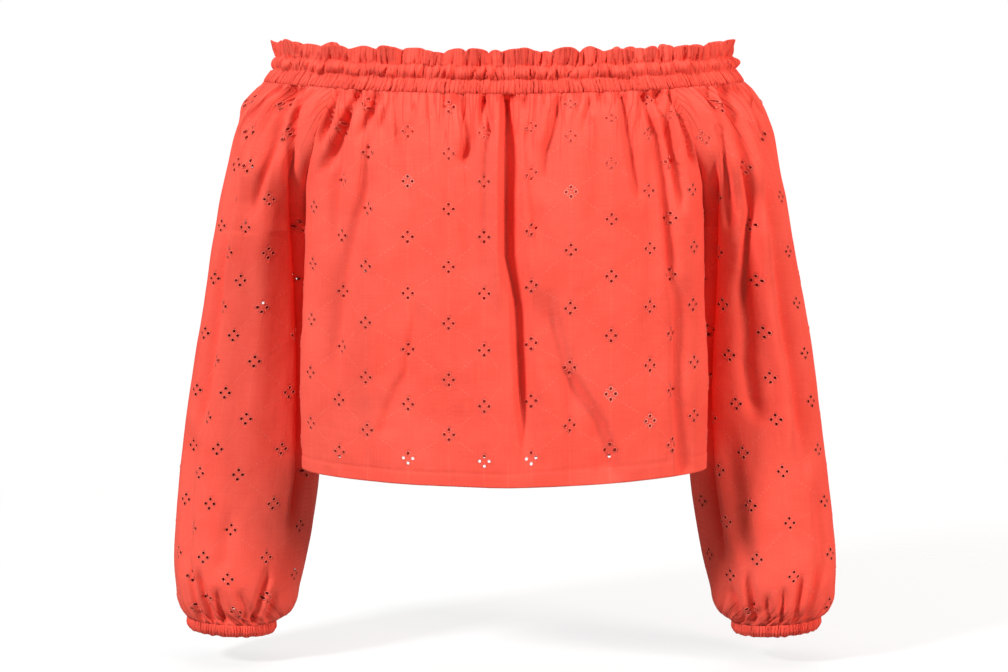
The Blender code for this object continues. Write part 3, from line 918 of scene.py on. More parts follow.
@dataclass
class EyeletPiece:
    """A piece of eyelet cotton: its sheet, its place in space, its wall and its embroidery."""
    name: str
    nodes: tuple
    lattice: Lattice
    half: float
    length: float
    cut: tuple               # width and length of the flat cut, in metres
    held: str
    area: float | None = None
    weld_from: float | None = None
    flip: bool = False
    pale: frozenset = frozenset()    # column and row numbers of motifs in pale thread

    def place(self, across: np.ndarray, down: np.ndarray) -> tuple:
        """Point and outward direction of the cloth at a distance across and down it."""
        raise NotImplementedError

    def reach(self, across: np.ndarray, down: np.ndarray) -> np.ndarray:
        """Distance from the middle line to the seam on the side of each place."""
        raise NotImplementedError

    def frames(self, across: np.ndarray, down: np.ndarray) -> tuple:
        """Points, the two tangents per millimetre of cloth, and the unit normal.

        Args:
            across: distances across the cloth.
            down: distances down the cloth.

        Returns:
            Points, tangent across, tangent down and outward normal, one row each.
        """
        step = 0.6
        before = [np.column_stack(self.place(across - step, down)[:3]),
                  np.column_stack(self.place(across, down - step)[:3])]
        after = [np.column_stack(self.place(across + step, down)[:3]),
                 np.column_stack(self.place(across, down + step)[:3])]
        along = [(b - a) / (2 * step) for a, b in zip(before, after)]
        x, y, z, out_x, out_y = self.place(across, down)
        normal = np.cross(along[0], along[1])
        normal /= np.linalg.norm(normal, axis=1)[:, None]
        outward = np.sign(normal[:, 0] * out_x + normal[:, 1] * out_y)
        return np.column_stack((x, y, z)), along[0], along[1], normal * outward[:, None]

    def build(self, finish: bpy.types.Material, shaded_wrong_side: bpy.types.Material,
              threads: tuple) -> None:
        """Make the cloth and its embroidery, and dress and report them.

        Args:
            finish: material of the cloth's right side.
            shaded_wrong_side: material of its inner side, painted darker than the right side as
                shade.
            threads: materials of the embroidery, the usual one and the pale one.
        """
        sheet = eyelet_sheet(self.lattice, self.half, self.length, self.reach, self.weld_from)
        x, y, z, out_x, out_y = self.place(sheet.across, sheet.down)
        lift = HOLE_RAISE * sheet.raised
        places = np.column_stack((x + lift * out_x, y + lift * out_y, z))
        welded = sheet.welded[:, ::-1] if self.flip else sheet.welded
        faces = sheet.faces[:, ::-1] if self.flip else sheet.faces
        columns, rows = self.lattice.columns, self.lattice.rows
        numbers = (np.interp(sheet.across, [c.at for c in columns], [c.number for c in columns]),
                   np.interp(sheet.down, [r.at for r in rows], [r.number for r in rows]))
        cloth = new_object(self.name, places, welded, {
            "cloth": corner_values(faces, sheet.across * MM, sheet.down * MM),
            "lattice": corner_values(faces, *numbers)})
        wall = cloth.modifiers.new("Wall", "SOLIDIFY")
        wall.thickness = SHELL * MM
        wall.offset = -1
        wall.use_even_offset = False
        wall.material_offset = 1
        wall.material_offset_rim = 0
        cloth.data.materials.append(finish)
        cloth.data.materials.append(shaded_wrong_side)
        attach(cloth, "root")
        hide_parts(*self.nodes)
        is_pale = np.array([tuple(number) in self.pale for number in sheet.numbers.tolist()])
        rims = self.embroidery(sheet.motifs, is_pale)
        for thread in threads:
            rims.data.materials.append(thread)
        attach(rims, "root")
        log.info("%s: %d faces, %d motifs", self.name, len(faces), len(sheet.motifs))

    def embroidery(self, motifs: np.ndarray, is_pale: np.ndarray) -> bpy.types.Object:
        """Overcast rims round the holes, a knot in the middle and a leaf at each corner.

        A rim is a flattened torus on the cloth's own tangents, so it narrows where the cloth
        is gathered. A leaf or knot is a low dome on a small ellipse.

        Args:
            motifs: centres of the motifs, across and down.
            is_pale: for each motif, whether its thread is the pale one.

        Returns:
            One object with all the stitches of the piece.
        """
        turns = np.linspace(0, 2 * np.pi, 10, endpoint=False)
        tubes = np.linspace(0, 2 * np.pi, 4, endpoint=False)
        reach = HOLE_STEP * HOLE_CELL
        centres = (motifs[:, None, :] + reach * np.array(SIDES)[None]).reshape(-1, 2)
        point, by_u, by_v, normal = self.frames(centres[:, 0], centres[:, 1])
        radius = HOLE_RADIUS + 0.38 + 0.42 * np.cos(tubes)[None, :] + 0 * turns[:, None]
        height = 0.16 + 0.26 * np.sin(tubes)[None, :] + 0 * turns[:, None]
        u = (radius * np.cos(turns)[:, None]).ravel()
        v = (radius * np.sin(turns)[:, None]).ravel()
        rims = (point[:, None] + by_u[:, None] * u[None, :, None]
                + by_v[:, None] * v[None, :, None]
                + normal[:, None] * height.ravel()[None, :, None])
        ring, tube = len(turns), len(tubes)
        a, b = np.meshgrid(np.arange(ring), np.arange(tube), indexing="ij")
        quad = np.stack((a * tube + b, (a + 1) % ring * tube + b,
                         (a + 1) % ring * tube + (b + 1) % tube, a * tube + (b + 1) % tube), -1)
        quad = quad.reshape(-1, 4)
        faces = (quad[None] + np.arange(len(centres))[:, None, None] * ring * tube).reshape(-1, 4)
        places = rims.reshape(-1, 3)
        leaf_places, leaf_faces = self.leaves(motifs)
        stitches = new_object(self.name + "_embroidery", np.vstack((places, leaf_places)),
                              np.vstack((faces, leaf_faces + len(places))))
        kinds = np.concatenate((np.repeat(is_pale, len(SIDES) * len(quad)),
                                np.tile(np.repeat(is_pale, 8), 5)))
        stitches.data.polygons.foreach_set("material_index", kinds.astype(np.int32))
        return stitches

    def leaves(self, motifs: np.ndarray) -> tuple:
        """Low domes: four leaves that point away from each motif, and a knot in its middle.

        Each is an ellipse of six points with a smaller one above it, closed by quads.

        Args:
            motifs: centres of the motifs.

        Returns:
            Vertices in millimetres, and quads.
        """
        corner = math.sqrt(0.5)
        kinds = [(0.0, 0.0, 1.0, 0.0, 0.55, 0.5)]
        kinds += [(3.35 * a, 3.35 * b, a * corner, b * corner, 1.05, 0.42)
                  for a in (-1, 1) for b in (-1, 1)]
        places, faces = [], []
        six = np.arange(6) * np.pi / 3
        for du, dv, way_u, way_v, long, short in kinds:
            at = motifs + np.array((du, dv))
            point, by_u, by_v, normal = self.frames(at[:, 0], at[:, 1])
            rings = []
            for size, height in ((1.0, -0.05), (0.62, 0.3)):
                u = size * (long * np.cos(six) * way_u - short * np.sin(six) * way_v)
                v = size * (long * np.cos(six) * way_v + short * np.sin(six) * way_u)
                rings.append(point[:, None] + by_u[:, None] * u[None, :, None]
                             + by_v[:, None] * v[None, :, None] + height * normal[:, None])
            start = sum(len(done) for done in places)
            places.append(np.concatenate(rings, axis=1).reshape(-1, 3))
            side = [(k, (k + 1) % 6, (k + 1) % 6 + 6, k + 6) for k in range(6)]
            quads = np.array(side + [(6, 7, 8, 9), (6, 9, 10, 11)])
            faces.append((quads[None] + 12 * np.arange(len(at))[:, None, None]).reshape(-1, 4)
                         + start)
        return np.vstack(places), np.vstack(faces)


@dataclass
class BodyPanel(EyeletPiece):
    """Front or back panel from the neck band to the hem."""
    front: bool = True
    creases: tuple = ()
    gathers: GatherRow | None = None
    long_folds: GatherRow | None = None
    rise: float = 0.0        # how far the repeat rides up on one half
    rumple_seed: int = 1

    def __post_init__(self) -> None:
        """Measure the distances round the panel's sections."""
        self.arcs = ArcTable.measure(
            lambda level, own: body_section(level, own if self.front else np.pi - own)[:2],
            self.edge)

    def edge(self, level: np.ndarray) -> np.ndarray:
        """Turn from the panel's own middle to its seam."""
        turn = seam_turn(level, self.front)
        return turn if self.front else np.pi - turn

    def level(self, across: np.ndarray, down: np.ndarray) -> np.ndarray:
        """Level of a place: its distance down, with the repeat riding up on one half."""
        ride = self.rise * ramp(-6, 60, across) * ramp(0, 50, down)
        ride = ride * (1 - 0.55 * ramp(150, 300, down)) * (1 - ramp(300, self.length, down))
        return NECK_LEVEL - SEAM_GAP - down + ride

    def reach(self, across: np.ndarray, down: np.ndarray) -> np.ndarray:
        """Distance from the middle line to the seam at each place's level."""
        return self.arcs.end(self.level(across, down))

    def place(self, across: np.ndarray, down: np.ndarray) -> tuple:
        """Body section at the level, at a distance round it, pushed out by the creases.

        Args:
            across: distance across the cloth.
            down: distance down the cloth.

        Returns:
            x, y, z and the outward direction's x and y.
        """
        down = np.clip(down, 0, self.length)
        level = self.level(across, down)
        end, edge = self.arcs.end(level), self.edge(level)
        own = np.minimum(self.arcs.turn(level, np.minimum(np.abs(across), end)), edge)
        own = np.sign(across) * np.where(np.abs(across) > end - 0.01, edge, own)
        x, y, out_x, out_y = body_section(level, own if self.front else np.pi - own)
        calm = ramp(0, 6, end - np.abs(across))
        push = sum(crease.push(x, level) for crease in self.creases)
        push = push + self.gathers.push(across, down) + self.long_folds.push(across, down)
        push = push + 1.0 * soft_noise(self.rumple_seed, 14, 38, 95, x, level * 0.45)
        push = push + 0.16 * soft_noise(self.rumple_seed + 7, 18, 9, 24, x, level * 0.5)
        edge_groove = self.length - 11.5
        push = push - 0.5 * np.exp(-((down - edge_groove) / 1.0) ** 2)
        push = push + 0.2 * ramp(edge_groove, edge_groove + 2, down)
        pucker = soft_noise(self.rumple_seed + 3, 10, 7, 15, across, 0 * across)
        push = push + 0.3 * pucker * np.exp(-((down - edge_groove) / 5) ** 2)
        push = push * calm * ramp(-2, 7, down) - pinch(down)
        return x + push * out_x, y + push * out_y, lifted(level, x), out_x, out_y


@dataclass
class Sleeve(EyeletPiece):
    """A raglan sleeve: open beside the body above the underarm, a tube below it."""
    side: int = 1            # 1 on the wearer's left
    front_creases: tuple = ()
    back_creases: tuple = ()
    gathers: GatherRow | None = None
    long_folds: GatherRow | None = None
    cuff_gathers: GatherRow | None = None
    rumple_seed: int = 20

    def __post_init__(self) -> None:
        """Measure the distances round the sleeve's sections, before and behind."""
        self.arcs = tuple(ArcTable.measure(
            lambda level, turn, front=front: self.section(level, turn, front)[:2],
            lambda level, front=front: self.edge(level, front)) for front in (True, False))

    @staticmethod
    def edge(level: np.ndarray, front: bool) -> np.ndarray:
        """Turn from the outermost line to the seam, half a circle below the underarm."""
        return np.where(level > UNDERARM_LEVEL + 0.001, last_turn(level, front), np.pi)

    @staticmethod
    def section(level: np.ndarray, turn: np.ndarray, front: bool) -> tuple:
        """Ellipse from the outermost line to the seam, on the front or the back.

        Args:
            level: level of each point.
            turn: turn from the outermost line.
            front: whether the points are on the front half.

        Returns:
            x, y and the outward direction's x and y.
        """
        half = column(SLEEVE, "front_half" if front else "back_half", level)
        last = Sleeve.edge(level, front)
        above = level > UNDERARM_LEVEL + 0.001
        inner = np.where(above, body_section(level, seam_turn(level, front))[0],
                         column(SLEEVE, "inner", level))
        round_x = (column(SLEEVE, "outer", level) - inner) / (1 - np.cos(last))
        way = -1.0 if front else 1.0
        x = inner + round_x * (np.cos(turn) - np.cos(last))
        y = column(SLEEVE, "middle", level) + way * half * np.sin(turn)
        out_x, out_y = np.cos(turn) / round_x, way * np.sin(turn) / half
        length = np.hypot(out_x, out_y)
        return x, y, out_x / length, out_y / length

    def reach(self, across: np.ndarray, down: np.ndarray) -> np.ndarray:
        """Distance from the outermost line to the seam before or behind it."""
        level = NECK_LEVEL - SEAM_GAP - down
        return np.where(across < 0, self.arcs[0].end(level), self.arcs[1].end(level))

    def place(self, across: np.ndarray, down: np.ndarray) -> tuple:
        """Ellipse of the sleeve at the level, pushed out by its creases and gathers.

        Args:
            across: distance round the sleeve from its outermost line, towards the back.
            down: distance down the sleeve.

        Returns:
            x, y, z and the outward direction's x and y.
        """
        down = np.clip(down, 0, self.length)
        level = NECK_LEVEL - SEAM_GAP - down
        is_front = across < 0
        end = self.reach(across, down)
        halves = []
        for arcs, front in zip(self.arcs, (True, False)):
            edge = self.edge(level, front)
            turn = np.minimum(arcs.turn(level, np.minimum(np.abs(across), end)), edge)
            turn = np.where(np.abs(across) > end - 0.01, edge, turn)
            halves.append((*self.section(level, turn, front), turn))
        x, y, out_x, out_y, turn = (np.where(is_front, *pair) for pair in zip(*halves))
        above = level > UNDERARM_LEVEL + 0.001
        clear = ramp(0.0, 0.35, np.sin(turn))
        folds = np.where(is_front, sum(c.push(x, level) for c in self.front_creases),
                         sum(c.push(x, level) for c in self.back_creases)) * clear
        rise = self.length - down
        outline = 1 - 0.8 * np.exp(-(across / 14) ** 2)
        push = folds + self.long_folds.push(across, down)
        push = push + self.gathers.push(across, down) * outline
        push = push + self.cuff_gathers.push(across, rise)
        push = push + 1.0 * soft_noise(self.rumple_seed, 16, 40, 100, x, y, level * 0.4)
        push = push + 0.16 * soft_noise(self.rumple_seed + 7, 18, 9, 24, x, y, level * 0.5)
        seam = np.where(above, ramp(0, 6, end - np.abs(across)),
                        0.25 + 0.75 * ramp(0, 6, end - np.abs(across)))
        push = push * seam * ramp(-2, 5, rise) * ramp(-2, 7, down) - pinch(down)
        tilt = np.exp(-rise / 30.0) * CUFF_TILT * (x - CUFF_X) / CUFF_RADIUS
        x, y = x + push * out_x, y + push * out_y
        return self.side * x, y, lifted(level, x) + tilt, self.side * out_x, out_y


# Gathered rings

def ring_faces(around: int, rows: int, inside_out: bool) -> np.ndarray:
    """Quads of a grid that closes on itself both round the ring and across its profile."""
    a, b = np.meshgrid(np.arange(around), np.arange(rows), indexing="ij")
    next_a, next_b = (a + 1) % around, (b + 1) % rows
    quads = np.stack((a * rows + b, next_a * rows + b, next_a * rows + next_b,
                      a * rows + next_b), -1).reshape(-1, 4)
    return quads[:, ::-1] if inside_out else quads


@dataclass
class NeckBand:
    """The gathered neck band: ribbed elastic casing, puffed channel and ruffle heading."""
    columns: int = 1280
    casing_rows: int = 9
    channel_rows: int = 13
    heading_rows: int = 13
    inner_rows: int = 12
    casing_wall: float = 2.2
    heading_wall: float = 1.1
    casing_top: float = -0.6
    flare: float = 1.8       # the heading turns out at its two ends
    pinch: float = 11.4
    cut: tuple = (1.25, 0.042)

    def path(self) -> tuple:
        """Even steps round the neck's ellipse.

        Returns:
            Turn in radians of each step, distance of each from centre front, and the girth.
        """
        fine = np.linspace(0, 2 * np.pi, 4001)
        x = BODY[0].half_width * np.sin(fine)
        y = -0.5 * (BODY[0].back - BODY[0].front) * np.cos(fine)
        run = np.concatenate(([0.0], np.cumsum(np.hypot(np.diff(x), np.diff(y)))))
        even = np.linspace(0, run[-1], self.columns, endpoint=False)
        return np.interp(even, run, fine), even, run[-1]

    def relief(self, along: np.ndarray, level: np.ndarray, girth: float) -> tuple:
        """How far the cloth stands out at a place of the band, and how the level shifts.

        Ribs are humps over narrow cells in the casing, puffs are humps over wide cells in the
        channel, and pleats are notches that rise from the pinch into the heading.

        Args:
            along: distance round the ring.
            level: level on the band.
            girth: length of the ring.

        Returns:
            The push outwards and the rise of the top edge, in millimetres.
        """
        level = level + 1.1 * soft_noise(53, 9, 11, 46, along) * ramp(-9, -2, level)
        casing = 1 - ramp(self.casing_top - 1.2, self.casing_top + 0.6, level)
        heading = ramp(self.pinch - 0.8, self.pinch + 0.8, level)
        channel = np.clip(1 - casing - heading, 0, 1)
        sway = 0.9 * np.sin(level * 0.55 + along * 0.045)
        ribs = UnevenRow(girth, 2.0, 5.6, 3).find(along + 0.4 * sway)
        rib = (1.3 + 2.6 * ribs.chance**2) * (hump(ribs.share, 0.5) - 0.6)
        tucks = UnevenRow(girth, 6.0, 15.0, 7).find(along + 0.8 * sway)
        rib = rib + 3.6 * tucks.chance * (hump(tucks.share, 0.35) - 0.85)
        rib = rib - 1.3 * np.exp(-((level - NECK_LEVEL + 0.9) / 1.3) ** 2)
        wide = UnevenRow(girth, 7.0, 20.0, 11)
        slant = soft_noise(5, 6, 30, 80, along)
        puffs = wide.find(along + slant * 2.2 * (level - 5.4) / 6)
        height = np.clip((level - self.casing_top) / (self.pinch - self.casing_top), 0, 1)
        puff = (2.4 + 5.0 * puffs.chance) * hump(puffs.share, 0.35) * hump(height, 0.6)
        puff = puff - 2.2
        crumple = UnevenRow(girth, 3.0, 7.0, 17).find(along - slant * 3.0 * (level - 5.4) / 6)
        crumpled = 5.0 * crumple.chance**2 * (hump(crumple.share, 0.6) - 0.6)
        puff = puff + crumpled * hump(height, 0.6)
        rise = np.clip((level - self.pinch) / (HEADING_LEVEL - self.pinch), 0, 1)
        bend = 1.6 * np.sin(along * 0.05 + 2 * rise)
        pleats = UnevenRow(girth, 4.5, 15.0, 23).find(along + bend)
        reach = 0.25 + 0.9 * pleats.other**2
        pleat = (2.5 + 6.0 * pleats.chance) * (hump(pleats.share, 0.35) - 0.85)
        pleat = pleat * np.exp(-(rise / reach) ** 2)
        scallops = UnevenRow(girth, 11.0, 34.0, 31).find(along + 2.0 * np.sin(along * 0.021))
        wave = np.where(scallops.index % 2 == 0, 1.0, -0.5) * (0.4 + 0.9 * scallops.chance)
        wave = wave * hump(scallops.share, 0.9) * rise**1.1 * 5.0
        folded = UnevenRow(girth, 14.0, 40.0, 37).find(along)
        notch = -2.6 * (0.3 + folded.chance) * np.exp(-(np.minimum(folded.share, 1 - folded.share)
                                                      / 0.05) ** 2) * ramp(0.0, 0.3, rise)
        top = (4.6 * (0.3 + scallops.chance) * hump(scallops.share, 0.55) - 3.2
               + 0.9 * soft_noise(41, 8, 14, 50, along))
        out = casing * rib + channel * puff + heading * (pleat + wave + notch)
        return out, top * rise**1.5

    def place(self, turn: np.ndarray, level: np.ndarray, out: np.ndarray) -> np.ndarray:
        """Point of the ring: the neck's ellipse drawn in by the lean and pushed outwards.

        Args:
            turn: turn from centre front.
            level: level on the band.
            out: push outwards.

        Returns:
            Points in millimetres, one row each.
        """
        lean = column(BAND, "lean", np.clip(level, NECK_LEVEL, HEADING_LEVEL))
        across, along = np.sin(turn), -np.cos(turn)
        width = BODY[0].half_width - lean
        depth = 0.5 * (BODY[0].back - BODY[0].front) - 0.4 * lean
        out_x, out_y = across / width, along / depth
        size = np.hypot(out_x, out_y)
        x = width * across + out * out_x / size
        y = BODY[0].widest + depth * along + out * out_y / size
        base = np.minimum(level, NECK_LEVEL)
        return np.column_stack([part.ravel() for part in (x, y, lifted(base, x) + level - base)])

    def build(self, finish: bpy.types.Material) -> None:
        """Make the closed ring: up its outer side, over the heading and down its inner side.

        Args:
            finish: material of the band.
        """
        turn, along, girth = self.path()
        outer = np.concatenate((
            np.linspace(NECK_LEVEL - 0.9, self.casing_top, self.casing_rows, endpoint=False),
            np.linspace(self.casing_top, self.pinch, self.channel_rows, endpoint=False),
            np.linspace(self.pinch, HEADING_LEVEL, self.heading_rows)))
        inner = np.linspace(HEADING_LEVEL, NECK_LEVEL - 0.9, self.inner_rows)
        level = np.concatenate((outer, inner))
        is_inner = np.arange(len(level)) >= len(outer)
        turn_grid, level_grid = np.meshgrid(turn, level, indexing="ij")
        along_grid = np.meshgrid(along, level, indexing="ij")[0]
        out, top = self.relief(along_grid, level_grid, girth)
        puff = column(BAND, "puff", level_grid)
        rise = np.clip((level_grid - self.pinch) / (HEADING_LEVEL - self.pinch), 0, 1)
        puff = puff + self.flare * rise * np.abs(np.sin(turn_grid)) ** 6
        heading = ramp(self.pinch - 0.5, self.pinch + 2, level_grid)
        wall = self.casing_wall + (self.heading_wall - self.casing_wall) * heading
        inner_out = heading * (puff + out) - wall
        out = np.where(is_inner[None, :], inner_out, puff + out)
        places = self.place(turn_grid, level_grid, out)
        places[:, 2] += top.ravel()
        faces = ring_faces(len(turn), len(level), False)
        run = np.concatenate(([0.0], np.cumsum(np.abs(np.diff(level)) + 0.3)))
        runs = np.broadcast_to(run, level_grid.shape).ravel()
        band = new_object("neck_band_cloth", places, faces, {
            "cloth": corner_values(faces, along_grid.ravel() * 1.7 * MM, runs * MM)})
        band.data.materials.append(finish)
        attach(band, "root")
        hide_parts("neck_band")
        log.info("neck band: %d faces", len(faces))


@dataclass
class Cuff:
    """A narrow elastic casing at the end of a sleeve."""
    word: str
    side: int
    seed: int
    columns: int = 520
    outer_rows: int = 15
    inner_rows: int = 6
    wall: float = 2.0
    cut: tuple = (0.31, 0.0125)

    def build(self, finish: bpy.types.Material) -> None:
        """Make the closed ring with its fine ribs, fuller midway between its two edges.

        Args:
            finish: material of the cuff.
        """
        turn = np.linspace(0, 2 * np.pi, self.columns, endpoint=False)
        share = np.concatenate((np.linspace(0, 1, self.outer_rows),
                                np.linspace(1, 0, self.inner_rows)))
        is_inner = np.arange(len(share)) >= self.outer_rows
        turns, shares = np.meshgrid(turn, share, indexing="ij")
        along = turns * CUFF_RADIUS
        girth = 2 * np.pi * CUFF_RADIUS
        bend = 0.35 * np.sin(6 * shares + turns * 9)
        ribs = UnevenRow(girth, 1.8, 3.6, self.seed).find(along + bend)
        rib = (1.7 + 1.8 * ribs.chance) * (hump(ribs.share, 0.5) - 0.7)
        edge = 1.0 * hump(shares, 0.5)
        out = CUFF_RADIUS + edge + rib * (0.55 + 0.45 * hump(shares, 0.4))
        out = out - 1.6 * ramp(0.45, 0.0, shares)
        out = np.where(is_inner[None, :], CUFF_RADIUS - self.wall - 1.0 * (1 - shares), out)
        level = CUFF_END_LEVEL + (SLEEVE_END_LEVEL - CUFF_END_LEVEL) * shares
        level = level + 0.35 * soft_noise(self.seed + 1, 8, 8, 20, along) * (1 - shares)
        x = out * np.sin(turns)
        places = np.column_stack([part.ravel() for part in (
            self.side * (CUFF_X + x), CUFF_Y - out * np.cos(turns),
            level + CUFF_TILT * x / CUFF_RADIUS)])
        faces = ring_faces(len(turn), len(share), self.side < 0)
        run = np.cumsum(np.full(len(share), 0.8))
        cuff = new_object(f"cuff_{self.word}_cloth", places, faces, {
            "cloth": corner_values(faces, along.ravel() * 1.6 * MM,
                                   np.broadcast_to(run, turns.shape).ravel() * MM)})
        cuff.data.materials.append(finish)
        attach(cuff, "root")
        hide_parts(f"cuff_{self.word}")
        log.info("cuff %s: %d faces", self.word, len(faces))


# What the photo shows of each piece

FRONT_COLUMNS = (Line(-246, -7), Line(-212, -6), Line(-178, -5), Line(-146, -4),
                 Line(-119.5, -3), Line(-83, -2), Line(-47.5, -1), Line(-17, 0),
                 Line(23.5, 2), Line(57, 3), Line(92.5, 4), Line(128, 5), Line(150, 6),
                 Line(174, 7), Line(206, 8), Line(240, 9))
FRONT_ROWS = tuple(Line(-12.3 - level, number - 1) for number, level in enumerate(
    (-24, -45.5, -63.5, -87, -110.5, -134.4, -160, -182.9, -208.5, -230.8, -254.8, -275.6, -299,
     -320)))
FRONT_PALE = frozenset(((-2, 2), (3, 3), (4, 10), (5, 11)))
BACK_COLUMNS = tuple(Line(at, number) for number, at in enumerate(
    (-205, -171, -136.5, -102, -67.5, -33.5, 1.5, 36, 70.5, 104, 139, 173, 207)))
BACK_ROWS = tuple(Line(22.0 + 24.2 * k, k) for k in range(13))

FRONT_CREASES = (
    Crease(((1, -12), (1, -69), (1.5, -151), (5, -166), (10, -190), (12, -228), (14, -264),
            (18, -312)), 4.0, 14, -5.2, 6, 60),
    Crease(((-6, -12), (-6, -150), (-4, -190)), 9, 5, 2.0, 8, 40),
    Crease(((-36, -12), (-29, -37), (-27, -52), (-30, -64), (-35, -75)), 9, 3.4, -3.2, 10, 12),
    Crease(((-31, -60), (-30, -122), (-28, -181)), 11, 9, -1.3, 20, 40),
    Crease(((-18, -12), (-20, -44)), 2.6, 3.2, -2.0, 4, 14),
    Crease(((-17, -14), (-9, -56)), 3.2, 2.4, -1.9, 4, 16),
    Crease(((-53, -12), (-54, -60)), 3.4, 5.0, -1.3, 4, 22),
    Crease(((-147, -9), (-148, -18), (-154, -36), (-160, -56)), 4, 3.6, -3.6, 4, 14),
    Crease(((-125, -10), (-132, -23), (-140, -39), (-145, -52), (-153, -66), (-161, -82)),
           3.6, 7, -3.8, 6, 16),
    Crease(((-110, -12), (-116, -28), (-126, -54)), 3.6, 5.5, -2.2, 6, 16),
    Crease(((-101, -11), (-114, -28)), 2.6, 4.5, -1.7, 4, 10),
    Crease(((-99, -18), (-107, -40), (-111, -56)), 3.4, 5, -1.5, 8, 14),
    Crease(((-145, -66), (-146, -110), (-148, -150)), 9, 7, -1.7, 20, 30),
    Crease(((-117, -88), (-127, -122), (-136, -157), (-141, -188), (-144, -215), (-150, -262)),
           12, 8, -2.6, 24, 40),
    Crease(((-100, -150), (-112, -210), (-118, -290)), 16, 14, 1.3, 30, 40),
    Crease(((-76, -205), (-84, -250), (-94, -267), (-101, -285), (-106, -305)), 5.5, 13, -1.3,
           22, 10),
    Crease(((40, -200), (50, -246), (66, -268), (80, -290), (90, -316), (94, -340)), 18, 7,
           -2.6, 26, 16),
    Crease(((59, -240), (60, -290), (62, -343)), 9, 9, -1.0, 24, 18),
    Crease(((152, -190), (150, -264), (157, -343)), 5, 10, -2.4, 26, 10),
    Crease(((51, -18), (46, -40), (39, -60), (36, -95)), 8, 3.8, -2.2, 10, 24),
    Crease(((71, -11), (72, -24), (70, -50)), 5, 3.4, -1.4, 5, 18),
    Crease(((80, -11), (91, -27)), 3, 3, -1.3, 4, 10),
    Crease(((97, -11), (104, -22), (106, -46), (112, -81), (117, -104)), 3.2, 6.5, -2.3, 6, 22),
    Crease(((118, -11), (125, -24), (127, -36), (133, -52), (138, -87), (142, -134), (146, -190)),
           3.4, 7.5, -3.0, 6, 40),
    Crease(((130, -11), (139, -34), (147, -63), (152, -93), (154, -112)), 3.2, 6.0, -3.4, 6, 18),
    Crease(((143, -10), (154, -34), (161, -54), (166, -78)), 3.6, 4, -3.4, 5, 14),
    Crease(((24, -24), (22, -53), (26, -103), (32, -150)), 6, 9, -1.9, 14, 40),
    Crease(((62, -60), (60, -120), (64, -200)), 16, 15, 1.2, 30, 50),
)

BACK_CREASES = (
    Crease(((-2, -12), (-4, -80), (-2, -160), (-8, -230), (-6, -280)), 12, 4.5, -4.4, 6, 50),
    Crease(((34, -12), (38, -60), (44, -110)), 3.6, 8, -2.8, 6, 30),
    Crease(((-38, -11), (-34, -50), (-40, -84)), 7, 3.4, -2.5, 6, 24),
    Crease(((66, -11), (72, -50), (70, -90)), 3.2, 6, -2.1, 6, 24),
    Crease(((-70, -11), (-78, -60), (-76, -120)), 6, 3.6, -2.6, 6, 30),
    Crease(((98, -11), (108, -40), (122, -76)), 3.4, 6, -2.6, 6, 20),
    Crease(((-102, -11), (-112, -40), (-126, -84)), 6, 3.4, -2.9, 6, 20),
    Crease(((124, -11), (140, -48), (152, -86)), 3.6, 5, -3.2, 6, 18),
    Crease(((-126, -11), (-140, -44), (-154, -78)), 5, 3.6, -3.2, 6, 18),
    Crease(((20, -14), (16, -44)), 2.6, 3, -1.6, 4, 14),
    Crease(((-54, -12), (-52, -40)), 3, 2.6, -1.5, 4, 14),
    Crease(((84, -130), (70, -210), (46, -300), (40, -340)), 17, 9, -2.4, 30, 14),
    Crease(((-96, -120), (-86, -220), (-64, -320)), 9, 17, -2.5, 30, 24),
    Crease(((126, -150), (132, -250), (128, -340)), 10, 12, -2.0, 30, 16),
    Crease(((-136, -160), (-130, -260), (-138, -343)), 12, 9, -2.1, 30, 12),
    Crease(((20, -180), (14, -260), (18, -340)), 16, 14, 1.4, 30, 20),
)

